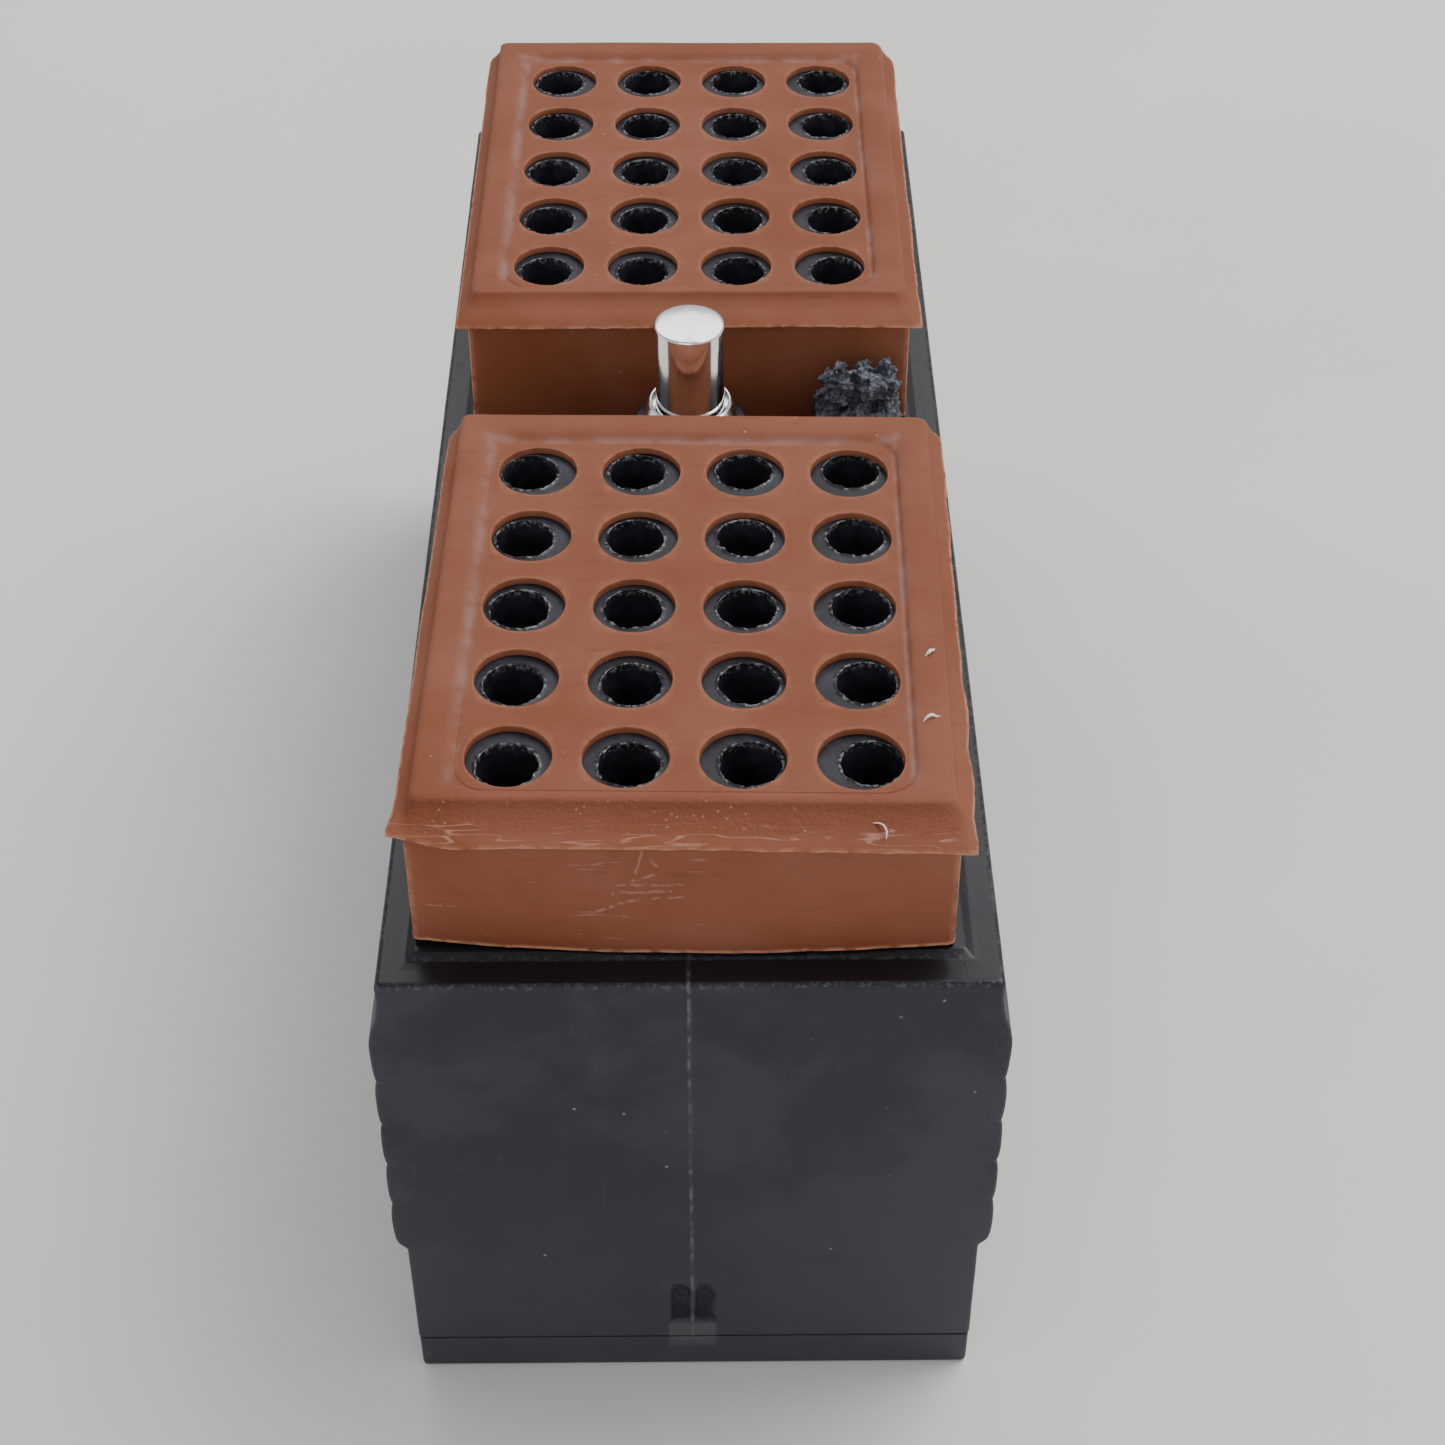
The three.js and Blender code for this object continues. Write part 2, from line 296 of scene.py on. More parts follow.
class Finish:
    """One material, painted in object space in millimetres."""

    def __init__(self, name, **constants):
        self.material = bpy.data.materials.new(name)
        self.material.use_nodes = True
        self.tree = self.material.node_tree
        self.shader = next(n for n in self.tree.nodes if n.type == "BSDF_PRINCIPLED")
        for socket, value in constants.items():
            self.shader.inputs[socket.replace("_", " ")].default_value = value
        place = self.node("ShaderNodeTexCoord", output="Object")
        self.place = self.vector("SCALE", Vector=place, Scale=1 / MM)

    def node(self, kind, settings=None, output=0, **inputs):
        """Any node: settings are set first, then its sockets, by name or as _0, _1 and so on."""
        node = self.tree.nodes.new(kind)
        for key, value in (settings or {}).items():
            setattr(node, key, value)
        for key, value in inputs.items():
            name = int(key[1:]) if key[0] == "_" else key.replace("_", " ")
            connect(self.tree, value, node.inputs[name])
        return Wire(node.outputs[output])

    def vector(self, operation, **inputs):
        return self.node("ShaderNodeVectorMath", {"operation": operation}, **inputs)

    def stretched(self, x=1.0, y=1.0, z=1.0):
        """The place with its axes scaled, for streaks."""
        return self.vector("MULTIPLY", _0=self.place, _1=(x, y, z))

    def noise(self, size, detail=3.0, place=None, roughness=0.55):
        """Noise from 0 to 1 whose lumps are size millimetres across."""
        return self.node("ShaderNodeTexNoise", Vector=place or self.place, Scale=1 / size,
                         Detail=detail, Roughness=roughness)

    def cells(self, size):
        """Distance to the nearest of points scattered about size millimetres apart."""
        return self.node("ShaderNodeTexVoronoi", output="Distance", Vector=self.place, Scale=1 / size)

    def ramp(self, value, low, high):
        """0 below low, 1 above high."""
        return self.node("ShaderNodeMapRange", {"interpolation_type": "SMOOTHSTEP"}, Value=value,
                         From_Min=low, From_Max=high)

    def mark(self, name):
        return self.node("ShaderNodeAttribute", {"attribute_name": name}, output="Fac")

    def stroke(self, x0, z0, x1, z1, width):
        """1 on a straight scuff seen from the front, between two points given by X and Z, else 0."""
        reach = 0.3  # how far a scuff wanders; half of it is taken off its start to centre it
        half = reach / 2
        wander = self.node("ShaderNodeTexNoise", output="Color", Vector=self.place, Scale=2.0)
        wander = self.vector("SCALE", Vector=wander, Scale=reach)
        start = self.vector("SUBTRACT", _0=self.stretched(y=0.0), _1=(x0 + half, half, z0 + half))
        start = self.vector("ADD", _0=start, _1=wander)
        run = Vector((x1 - x0, 0.0, z1 - z0))
        along = self.vector("DOT_PRODUCT", output="Value", _0=start, _1=tuple(run / run.length_squared))
        along = self.node("ShaderNodeClamp", Value=along)
        nearest = self.vector("SCALE", Vector=tuple(run), Scale=along)
        away = self.vector("SUBTRACT", _0=start, _1=nearest)
        away = self.vector("MULTIPLY", _0=away, _1=(1.0, 0.0, 1.0))
        away = self.vector("LENGTH", output="Value", _0=away)
        return 1 - self.ramp(away, width * 0.4, width)

    def mix(self, low, high, factor):
        """Colours low and high mixed by factor."""
        low, high = (c if isinstance(c, Wire) else (*c, 1.0) for c in (low, high))
        node = self.tree.nodes.new("ShaderNodeMix")
        node.data_type = "RGBA"
        for index, value in ((0, factor), (6, low), (7, high)):
            connect(self.tree, value, node.inputs[index])
        return Wire(node.outputs[2])

    def bump(self, height, depth, strength=1.0):
        """Height 0 to 1 stands for depth millimetres."""
        bump = self.node("ShaderNodeBump", Height=height, Distance=depth * MM, Strength=strength)
        connect(self.tree, bump, self.shader.inputs["Normal"])

    def surface(self, **sockets):
        for name, source in sockets.items():
            connect(self.tree, source, self.shader.inputs[name.replace("_", " ")])
        return self.material


def lighter(colour, amount):
    return tuple(c + (1 - c) * amount for c in colour)


def darker(colour, amount):
    return tuple(c * (1 - amount) for c in colour)


# X and Z of both ends of each scuff on the front skirt
SCUFFS = (
    (-2.7, 47.9, -3.3, 45.6), (-3.3, 45.6, -1.8, 46.2), (-2.3, 47.3, -1.6, 46.4),
    (-4.3, 45.3, 0.0, 45.4), (-4.5, 44.7, -1.1, 44.9), (-4.2, 44.1, -0.3, 44.5), (-5.7, 43.3, -3.0, 44.3),
)


def silicone_finish(colour):
    """Matt rust silicone: a paler line round the panel, flash on thin edges painted paler for the light
    glowing through it, a grainy front band painted darker for its shade, specks and fine scratches.
    """
    f = Finish("rust silicone", IOR=1.41, Specular_IOR_Level=0.22)
    cloud = f.noise(9.0, 4.0)
    grain = f.noise(0.35, 2.0)
    speck = 1 - f.ramp(f.cells(1.9), 0.035, 0.06)
    speck = speck * f.ramp(f.noise(5.0), 0.5, 0.62)
    streak = f.noise(1.0, 4.0, f.stretched(0.35, 1.6, 1.6))
    scratch = f.ramp(f.noise(1.0, 2.0, f.stretched(0.3, 2.2, 2.6)), 0.66, 0.70) * 0.6
    for scuff in SCUFFS:
        scratch = scratch.math("MAXIMUM", scratch, f.stroke(*scuff, 0.13) * 0.8)
    scratch = scratch * f.mark("worn") * f.ramp(f.noise(0.5, 3.0), 0.38, 0.55)
    waves = f.noise(1.0, 1.0, f.stretched(0.16, 1.3, 1.3))
    wavy = (1 - f.ramp(abs(waves - 0.5), 0.006, 0.028)) * f.mark("lip") * f.ramp(f.noise(3.0), 0.42, 0.56)
    scratch = scratch.math("MAXIMUM", scratch, wavy)
    flash, bloom, rough = f.mark("flash"), f.mark("bloom"), f.mark("rough")
    base = f.mix(darker(colour, 0.12), lighter(colour, 0.02), f.ramp(cloud, 0.3, 0.7))
    # painted shade: the grainy front band is painted darker for the shade on its slope; the streaks are
    # darker tone at random
    base = f.mix(base, darker(colour, 0.3), f.ramp(streak, 0.55, 0.75) * 0.35 + rough * 0.45)
    # a paler, pinker line round the panel, in patches
    base = f.mix(base, (0.34, 0.2, 0.17), bloom * (0.1 + 0.5 * f.ramp(f.noise(2.2), 0.35, 0.65)))
    # painted light: flash on thin edges is painted paler orange for the light glowing through the thin
    # silicone
    base = f.mix(base, (0.6, 0.27, 0.15), flash * f.ramp(f.noise(0.9, 3.0), 0.3, 0.6) * 0.9)
    base = f.mix(base, (0.47, 0.27, 0.21), speck * 0.8)
    base = f.mix(base, (0.46, 0.22, 0.16), scratch * 0.75)
    dots = rough * (1 - f.ramp(f.cells(0.5), 0.1, 0.2)) * f.ramp(f.noise(3.0), 0.45, 0.6)
    base = f.mix(base, (0.45, 0.24, 0.16), dots * 0.6)
    pits = f.ramp(f.noise(0.28, 3.0), 0.35, 0.7) * rough
    f.bump(grain * 0.18 + cloud * 0.3 + pits * 0.9 + scratch * 0.5 + speck * 0.6, 0.05, 0.8)
    return f.surface(Base_Color=base, Roughness=0.47 + 0.16 * cloud + 0.12 * rough - 0.06 * flash)


def housing_finish(colour):
    """Matt black moulding: hazy walls, glossy ledges painted near black for the shade and dark reflection on
    them, worn edges painted paler with painted highlights, gate pits painted near black for their shade, and
    a chalky seam.
    """
    f = Finish("black plastic", IOR=1.5, Specular_IOR_Level=0.36)
    cloud = f.noise(14.0, 4.0)
    haze = f.ramp(f.noise(9.0, 5.0, roughness=0.62), 0.4, 0.6)
    scuff = f.ramp(f.noise(2.2, 5.0, roughness=0.7), 0.56, 0.75)
    fleck = 1 - f.ramp(f.cells(2.3), 0.03, 0.06)
    fleck = fleck * f.ramp(f.noise(6.0), 0.5, 0.6)
    scratch = f.ramp(f.noise(1.0, 1.0, f.stretched(1.5, 1.5, 0.16)), 0.69, 0.73)
    scratch = scratch * f.ramp(f.noise(7.0), 0.5, 0.6)
    edge, seam, ledge_gloss_and_shade = f.mark("edge"), f.mark("seam"), f.mark("ledge_gloss_and_shade")
    wear_and_highlight = edge * f.ramp(f.noise(0.4, 5.0, roughness=0.7), 0.48, 0.66)
    chalk = seam * (0.15 + 0.8 * f.ramp(f.noise(1.3, 4.0), 0.42, 0.62))
    pit = f.ramp(f.mark("pit") - 0.6 * f.ramp(f.noise(0.7, 4.0), 0.35, 0.65), 0.0, 0.7)
    low = 1 - f.ramp(f.node("ShaderNodeSeparateXYZ", output="Z", Vector=f.place), 2.0, 30.0)
    base = f.mix(darker(colour, 0.22), lighter(colour, 0.008), haze)
    base = f.mix(base, (0.04, 0.043, 0.054), low * 0.7)
    base = f.mix(base, (0.045, 0.048, 0.06), scuff * 0.25 + scratch * 0.25)
    # painted shade: the glossy ledge tops are painted near black for the shade and dark reflection on them
    base = f.mix(base, (0.007, 0.007, 0.01), ledge_gloss_and_shade * 0.85)
    # edges painted paler: real wear, plus a painted highlight along the top edges and the plinth's bevel
    base = f.mix(base, (0.13, 0.135, 0.16), wear_and_highlight * 0.6)
    base = f.mix(base, (0.085, 0.085, 0.088), f.mark("patch") * 0.7)
    # painted shade: the torn gate pits are painted near black
    base = f.mix(base, (0.004, 0.004, 0.008), pit)
    base = f.mix(base, (0.17, 0.165, 0.16), chalk * 0.6)
    base = f.mix(base, (0.4, 0.4, 0.4), fleck * 0.6 * (1 - ledge_gloss_and_shade))
    f.bump(f.noise(0.12, 2.0) * 0.35 + scuff * 0.3 + scratch * 0.35 + wear_and_highlight * 0.6, 0.03, 0.6)
    rough = 0.55 - 0.27 * ledge_gloss_and_shade + 0.12 * (cloud - 0.5) + 0.1 * scuff
    return f.surface(Base_Color=base, Roughness=rough)


def insert_finish(colour):
    """Satin black moulding with a grey haze and glossy torn rims."""
    f = Finish("insert plastic", IOR=1.5, Specular_IOR_Level=0.3)
    haze = f.noise(1.6, 4.0)
    rim = f.mark("rim")
    base = f.mix(colour, (0.046, 0.045, 0.066), f.ramp(haze, 0.35, 0.7) * 0.7)
    base = f.mix(base, (0.28, 0.28, 0.29), rim * f.ramp(f.noise(0.3, 3.0), 0.5, 0.6) * 0.8)
    f.bump(f.noise(0.3, 3.0) * (0.4 + rim), 0.04, 0.8)
    return f.surface(Base_Color=base, Roughness=0.44 - 0.2 * rim + 0.12 * haze)


def steel_finish(colour):
    """Bright plating with faint turning lines and a few dulled patches."""
    f = Finish("bright steel")
    lines = f.noise(1.0, 2.0, f.stretched(0.3, 0.3, 14.0))
    patch = f.ramp(f.noise(1.4, 3.0), 0.55, 0.75)
    base = f.mix(colour, darker(colour, 0.35), patch * 0.4)
    f.bump(lines * 0.5 + patch * 0.5, 0.006, 0.5)
    return f.surface(Base_Color=base, Metallic=1.0, Roughness=0.1 + 0.05 * lines + 0.14 * patch)


def plain_metal_finish(name, colour, roughness):
    """Formed strip metal: rolling lines and handling marks."""
    f = Finish(name)
    lines = f.noise(1.0, 3.0, f.stretched(6.0, 6.0, 0.4))
    tarnish = f.ramp(f.noise(2.5, 4.0), 0.4, 0.75)
    base = f.mix(colour, darker(colour, 0.45), tarnish * 0.5)
    f.bump(lines, 0.008, 0.5)
    return f.surface(Base_Color=base, Metallic=1.0, Roughness=roughness + 0.15 * tarnish)


def rubber_finish(name, colour, roughness):
    """Dark moulded rubber with a faint bloom."""
    f = Finish(name, IOR=1.5)
    bloom = f.noise(1.5, 4.0)
    base = f.mix(colour, lighter(colour, 0.05), f.ramp(bloom, 0.4, 0.7))
    f.bump(f.noise(0.15, 2.0), 0.01, 0.5)
    return f.surface(Base_Color=base, Roughness=roughness + 0.1 * bloom)


def key_finish(colour):
    """Torn plastic: pale crystalline grain with dark pits."""
    f = Finish("torn plastic", IOR=1.5)
    grain = f.noise(0.3, 5.0, roughness=0.7)
    pale = f.ramp(grain, 0.42, 0.68)
    torn = f.mark("torn")
    base = f.mix(darker(colour, 0.75), lighter(colour, 0.14), pale * torn + 0.25 * torn)
    f.bump(grain + f.cells(0.5) * 0.8, 0.12, 0.9)
    return f.surface(Base_Color=base, Roughness=0.62 + 0.25 * grain)


# ---- sizes and colours --------------------------------------------------------------

def length(name, description, default):
    return FloatProperty(name=name, description=description, default=default * MM, min=0.0,
                         unit="LENGTH", subtype="DISTANCE", precision=5)


def colour(name, description, default):
    return FloatVectorProperty(name=name, description=description, default=default, size=3,
                               min=0.0, max=1.0, subtype="COLOR")


class PlugSizes(bpy.types.PropertyGroup):
    seal_pitch: length("Seal hole pitch", "Spacing of the holes in a seal", 7.0)
    insert_pitch: length("Bore pitch", "Spacing of the contact bores", 7.25)
    seal_hole: length("Seal hole radius", "Radius of a hole in a seal", 2.62)
    bore: length("Bore radius", "Radius of a contact bore", 1.88)
    lip_wave: length("Lip wave", "How far a seal's lip wanders", 0.16)
    skirt_bow: length("Skirt bow", "How far a skirt bulges in the middle of a side", 0.8)
    rib_height: length("Rib height", "How far a grip rib swells", 0.17)
    seam_height: length("Seam height", "How far the moulding seam stands out", 0.07)


class PlugColours(bpy.types.PropertyGroup):
    silicone: colour("Silicone", "Colour of the seals and grommets", (0.265, 0.082, 0.037))
    housing: colour("Housing", "Colour of the black moulding", (0.021, 0.0225, 0.034))
    insert: colour("Insert", "Colour of the contact inserts", (0.018, 0.018, 0.022))
    steel: colour("Steel", "Colour of the jackscrew's plating", (0.86, 0.86, 0.85))
    bronze: colour("Bronze", "Colour of the contact clips", (0.55, 0.38, 0.16))
    key: colour("Key", "Colour of the polarising key", (0.068, 0.083, 0.135))
    floor: colour("Floor", "Colour of the floor", (0.86, 0.85, 0.82))


class Piece:
    """What every operator that makes a piece shares."""

    bl_options = {"REGISTER", "UNDO"}

    def install(self, obj, material, body, slot, *nodes):
        """Paints a piece, hangs it on its body and lets it stand for its CAD nodes."""
        obj.data.materials.append(material)
        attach(obj, body)
        if nodes:
            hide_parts(*nodes)

    def repaint(self, material, *nodes):
        for name in nodes:
            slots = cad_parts[name].data.materials
            slots.clear()
            slots.append(material)


# ---- face seals -----------------------------------------------------------------------

class PLUG_OT_seals(Piece, bpy.types.Operator):
    """Make the two silicone face seals with their lips, skirts and holes"""

    bl_idname = "plug.seals"
    bl_label = "Face seals"

    TWIST = {"front": math.radians(-1.07), "back": math.radians(-0.24)}
    WEB = 0.46
    SKIRT_FOOT = 9.2
    FIELD = (13.35, 16.85, 1.9)  # half x, half y and corner radius of the pierced panel
    LIP_TIP = -1.03

    def profile(self):
        """(half x, half y, corner radius, height, lean) from the flat panel round to the inside."""
        edge = [(3.5, 3.8, 1.9, 0.0, 0.12), (3.4, 3.7, 2.0, -0.04, 0.18), (3.28, 3.56, 2.1, 0.02, 0.25)]
        rim = [(3.15, 3.42, 2.1, 0.14, 0.3), (3.0, 3.28, 2.1, 0.24, 0.34), (2.75, 3.05, 2.0, 0.3, 0.42),
               (2.3, 2.7, 1.8, 0.33, 0.55), (1.85, 2.35, 1.3, 0.34, 0.68), (1.45, 2.05, 0.9, 0.33, 0.78)]
        slope = [(1.25, 1.88, 0.7, 0.29, 0.85), (1.13, 1.76, 0.6, 0.21, 0.9), (1.06, 1.64, 0.55, 0.08, 0.92),
                 (1.02, 1.5, 0.5, -0.08, 0.88), (0.98, 1.34, 0.45, -0.23, 0.78),
                 (0.94, 1.18, 0.45, -0.36, 0.65), (0.91, 1.08, 0.4, -0.43, 0.55)]
        lip = [(0.88, 1.0, 0.4, -0.47, 0.48), (0.83, 0.92, 0.4, -0.5, 0.42), (0.66, 0.74, 0.45, -0.58, 0.3),
               (0.42, 0.5, 0.35, -0.7, 0.18), (0.2, 0.28, 0.25, -0.84, 0.08),
               (0.06, 0.14, 0.15, -0.95, 0.02)]
        tip = [(0.01, 0.09, 0.12, -1.02, 0.0), (0.05, 0.12, 0.12, -1.1, 0.0),
               (0.25, 0.18, 0.15, -1.05, 0.0), (0.5, 0.25, 0.2, -1.02, 0.0)]
        rows = [(LIP_X - dx, LIP_Y - dy, r, z, lean) for dx, dy, r, z, lean in edge + rim + slope + lip + tip]
        heights = (-1.25, -1.6, -2.4, -3.4, -4.4, -5.4, -6.4, -7.4, -8.2, -8.7, -8.95, -9.1)
        foot = -self.SKIRT_FOOT
        skirt = [(0.0, 0.0, z) for z in heights]
        skirt += [(-0.04, -0.05, foot), (0.1, 0.1, foot), (1.1, 1.1, foot), (1.2, 1.2, foot + 0.1)]
        skirt.append((1.2, 1.2, -self.WEB - 0.1))
        return rows + [(LIP_X - 0.78 - dx, LIP_Y - 0.5 - dy, 0.35, z) for dx, dy, z in skirt]

    def skin(self, sizes):
        block = PiercedBlock([sizes.seal_pitch / MM] * 2, *self.FIELD, 16)
        r = sizes.seal_hole / MM
        block.field(0.0, r + 0.06, 3)
        block.bores([(r + 0.06, 0.0), (r + 0.02, -0.015), (r, -0.06), (r - 0.01, -self.WEB)])
        block.field(-self.WEB, r - 0.01, 1)
        block.sides([(*self.FIELD, 0.0)] + self.profile() + [(*self.FIELD, -self.WEB)])
        return block.skin

    def shape(self, side, sizes):
        """Moves the points of a clean seal to where the soft, handled one has them."""
        bow, wave = sizes.skirt_bow / MM, sizes.lip_wave / MM
        turn = Matrix.Rotation(self.TWIST[side], 3, "Z")
        home = Vector((0.0, BLOCK_Y[side], SEAL_TOP))
        seed = 17.0 * BLOCK_Y[side]

        def lip(p):
            ox = smooth(abs(p.x), LIP_X - 0.95, LIP_X - 0.1) if p.z > -1.4 else 0.0
            oy = smooth(abs(p.y), LIP_Y - 0.95, LIP_Y - 0.1) if p.z > -1.4 else 0.0
            slow = wobble(p.x + seed, p.y, size=6.0) * (1.8 if p.x > 15 else 1.0)
            ragged = wobble(p.x + seed, p.y, size=0.7)
            out = wave * slow + 0.05 * ragged
            rise = 0.9 * wave * wobble(p.x - seed, p.y, size=8.0) + 0.04 * ragged
            p += Vector((math.copysign(ox * out, p.x), math.copysign(oy * out, p.y), max(ox, oy) * rise))
            corner = math.hypot(p.x + LIP_X, p.y + LIP_Y)
            if side == "front":
                p += max(ox, oy) * fade(corner, 0.0, 4.0) * Vector((-0.2, 0.5, 0.45))

        def rear_corner(p):
            low = smooth(-p.z, 0.4, 0.9) * fade(-p.z, 1.4, 1.8)
            if low > 0 and p.y > 0:
                x, y = rounded(p.x, p.y, LIP_X, LIP_Y, 2.4)
                p.x += (x - p.x) * low
                p.y += (y - p.y) * low

        def skirt(p):
            depth = smooth(-p.z, 1.3, self.SKIRT_FOOT)
            across, along = 1 - (p.x / LIP_X) ** 2, 1 - (p.y / LIP_Y) ** 2
            end = smooth(abs(p.y), LIP_Y - 2.2, LIP_Y - 1.7)
            flank = smooth(abs(p.x), LIP_X - 2.3, LIP_X - 2.05)
            p.y += math.copysign(depth * bow * across * end, p.y)
            p.x += math.copysign(depth * bow * 0.5 * along * flank, p.x)
            foot = smooth(-p.z, 6.0, 9.0)
            lifted = smooth(-p.x, 12.5, 16.2) * smooth(-p.y, 12.0, 19.0)
            p.z += foot * (0.12 * lifted - 0.16 * across * end + 0.05 * wobble(p.x, p.y, seed, size=0.8))
            p.z += foot * 0.07 * wobble(p.x, p.y, seed, size=3.0)

        def move(p):
            rear_corner(p)
            lip(p)
            skirt(p)
            if p.z > -1.0:
                rim = smooth(max(abs(p.x) - LIP_X + 3.5, abs(p.y) - LIP_Y + 3.8), 0.0, 1.5)
                p.z += 0.05 * wobble(p.x, p.y, seed, size=8.0) + 0.16 * rim * smooth(p.y, 12.0, 19.0)
            p.x -= 0.15 * smooth(p.z, 0.0, 0.3)
            return turn @ p + home

        return move

    def marks(self, side, sizes):
        """Where a seal is painted paler or darker, grainy or scuffed: flash painted paler for the light
        glowing through it, a paler line round the panel, a grainy front band painted darker for its shade,
        and scuffs; the last two are on the front seal only.
        """
        front = 1.0 if side == "front" else 0.0
        pitch, r = sizes.seal_pitch / MM, sizes.seal_hole / MM

        def to_hole(p):
            """Distance from the edge of the nearest hole."""
            cx = min(max(round(p.x / pitch - 0.5), -2), 1) * pitch + pitch / 2
            cy = min(max(round(p.y / pitch), -2), 2) * pitch
            return math.hypot(p.x - cx, p.y - cy) - r

        # flash on thin edges, which the finish paints paler for the light glowing through it
        def flash(p):
            inset = min(abs(abs(p.x) - LIP_X), abs(abs(p.y) - LIP_Y))
            tip = fade(math.hypot(p.z - self.LIP_TIP, inset), 0.05, 0.25)
            foot = fade(abs(p.z + self.SKIRT_FOOT), 0.1, 0.26)
            rim = fade(abs(to_hole(p)), 0.05, 0.1) if -0.06 < p.z < 0.02 else 0.0
            corner = smooth(abs(p.x), 15.9, 16.2) * smooth(abs(p.y), 20.0, 20.3) * smooth(-p.z, 1.3, 1.6)
            return max(tip, foot * 0.8, rim * 0.25, corner * 0.7)

        def bloom(p):
            """A paler line round the panel."""
            line = max(abs(p.x) - (LIP_X - 3.3), abs(p.y - 0.2) - (LIP_Y - 3.6))
            return fade(abs(line), 0.1, 0.45) * smooth(p.z, -0.2, -0.1) * smooth(p.y, -17.2, -15.5)

        # the grainy front band, which the finish paints darker for the shade on its slope
        def rough(p):
            return smooth(-p.y, 17.3, 18.2) * smooth(p.z, -0.75, -0.5) * front

        def worn(p):
            return front * smooth(-p.y, 18.5, 19.5) * (1.0 if p.z < -1.2 and p.x < 1.5 else 0.0)

        def lip(p):
            return front * smooth(-p.y, 19.0, 19.4) * smooth(p.z, -1.1, -0.95) * fade(p.z, -0.3, 0.0)

        return {"flash": flash, "bloom": bloom, "rough": rough, "worn": worn, "lip": lip}

    def execute(self, context):
        sizes, paint = context.scene.plug_sizes, context.scene.plug_colours
        finish = silicone_finish(tuple(paint.silicone))
        for side in SIDES:
            obj = self.skin(sizes).build(f"face_seal_{side}", self.shape(side, sizes),
                                         self.marks(side, sizes))
            self.install(obj, finish, SHELL, "rust_silicone", f"interface_seal_{side}")
        return {"FINISHED"}


# ---- contact inserts --------------------------------------------------------------------

class PLUG_OT_inserts(Piece, bpy.types.Operator):
    """Make the two black contact inserts with the torn rims of their bores"""

    bl_idname = "plug.inserts"
    bl_label = "Contact inserts"

    SHIFT = (0.05, 0.25)  # the bores sit a little off the middle of the seal's holes
    RAISE = 0.28  # brings the face up to just under the seal's panel

    def execute(self, context):
        sizes, paint = context.scene.plug_sizes, context.scene.plug_colours
        finish = insert_finish(tuple(paint.insert))
        pitch, bore = (sizes.insert_pitch / MM, sizes.insert_pitch / MM - 0.07), sizes.bore / MM
        low, high = span("contact_insert_front")
        depth = high.z - low.z
        shoulder = high.z - HOUSING_Z["plinth"]
        tower = (LIP_X - 2.35, LIP_Y - 2.0)
        foot = ((high.x - low.x) / 2, (high.y - low.y) / 2)

        def rim_gap(p):
            column = min(max(math.floor((p.x - self.SHIFT[0]) / pitch[0]), -2), 1)
            row = min(max(round((p.y - self.SHIFT[1]) / pitch[1]), -2), 2)
            cx = (column + 0.5) * pitch[0] + self.SHIFT[0]
            cy = row * pitch[1] + self.SHIFT[1]
            return p.x - cx, p.y - cy

        for side in SIDES:
            block = PiercedBlock(pitch, 14.3, 18.4, 0.5, 12, self.SHIFT)
            block.field(0.0, bore + 0.28, 2)
            block.bores([(bore + 0.28, 0.0), (bore + 0.2, 0.01), (bore + 0.12, 0.05), (bore + 0.05, 0.08),
                         (bore, 0.05), (bore + 0.01, -0.1), (bore + 0.02, -0.5), (bore + 0.04, -3.0),
                         (bore + 0.03, -depth)])
            block.field(-depth, bore + 0.03, 1)
            block.sides([(14.3, 18.4, 0.5, 0.0), (tower[0] - 0.1, tower[1] - 0.1, 0.5, 0.0),
                         (*tower, 0.5, -0.12), (*tower, 0.5, -shoulder), (*foot, 0.4, -shoulder - 0.1),
                         (*foot, 0.4, -depth + 0.1), (foot[0] - 0.1, foot[1] - 0.1, 0.4, -depth),
                         (14.3, 18.4, 0.5, -depth)])
            home = Vector((0.0, BLOCK_Y[side], high.z + self.RAISE))

            def torn(p, home=home):
                dx, dy = rim_gap(p)
                r = math.hypot(dx, dy)
                near = fade(abs(r - bore), 0.05, 0.28) * smooth(p.z, -0.6, -0.05)
                tear = wobble(p.x, p.y, home.y, 0.4) + 0.7 * wobble(p.x, p.y, home.y, 1.4)
                p.x -= dx / max(r, 0.1) * near * 0.13 * tear
                p.y -= dy / max(r, 0.1) * near * 0.13 * tear
                p.z += near * 0.07 * tear
                return p + home

            def rim(p):
                dx, dy = rim_gap(p)
                return fade(abs(math.hypot(dx, dy) - bore), 0.1, 0.24) * smooth(p.z, -0.5, -0.1)

            obj = block.skin.build(f"insert_{side}", torn, {"rim": rim})
            self.install(obj, finish, SHELL, "insert_plastic", f"contact_insert_{side}")
        return {"FINISHED"}


# ---- housing and rear cover ---------------------------------------------------------------

HOUSING_Z = {"foot": HOUSING_LOW.z, "ledge": HOUSING_HIGH.z - 4.7, "plinth": HOUSING_HIGH.z - 4.4}
SEAM_X = -0.1
SCREW_BORE = 4.9  # radius of the jackscrew's way through the foot and the cover


def windows(hx, hy):
    """(x0, x1, y0, y1) of the opening under each contact block, of that half size."""
    return [(-hx, hx, BLOCK_Y[side] - hy, BLOCK_Y[side] + hy) for side in SIDES]


def on_patch(x):
    """1 across the width of the ground-off patch on the front wall."""
    return fade(abs(x - SEAM_X), 1.5, 1.7)


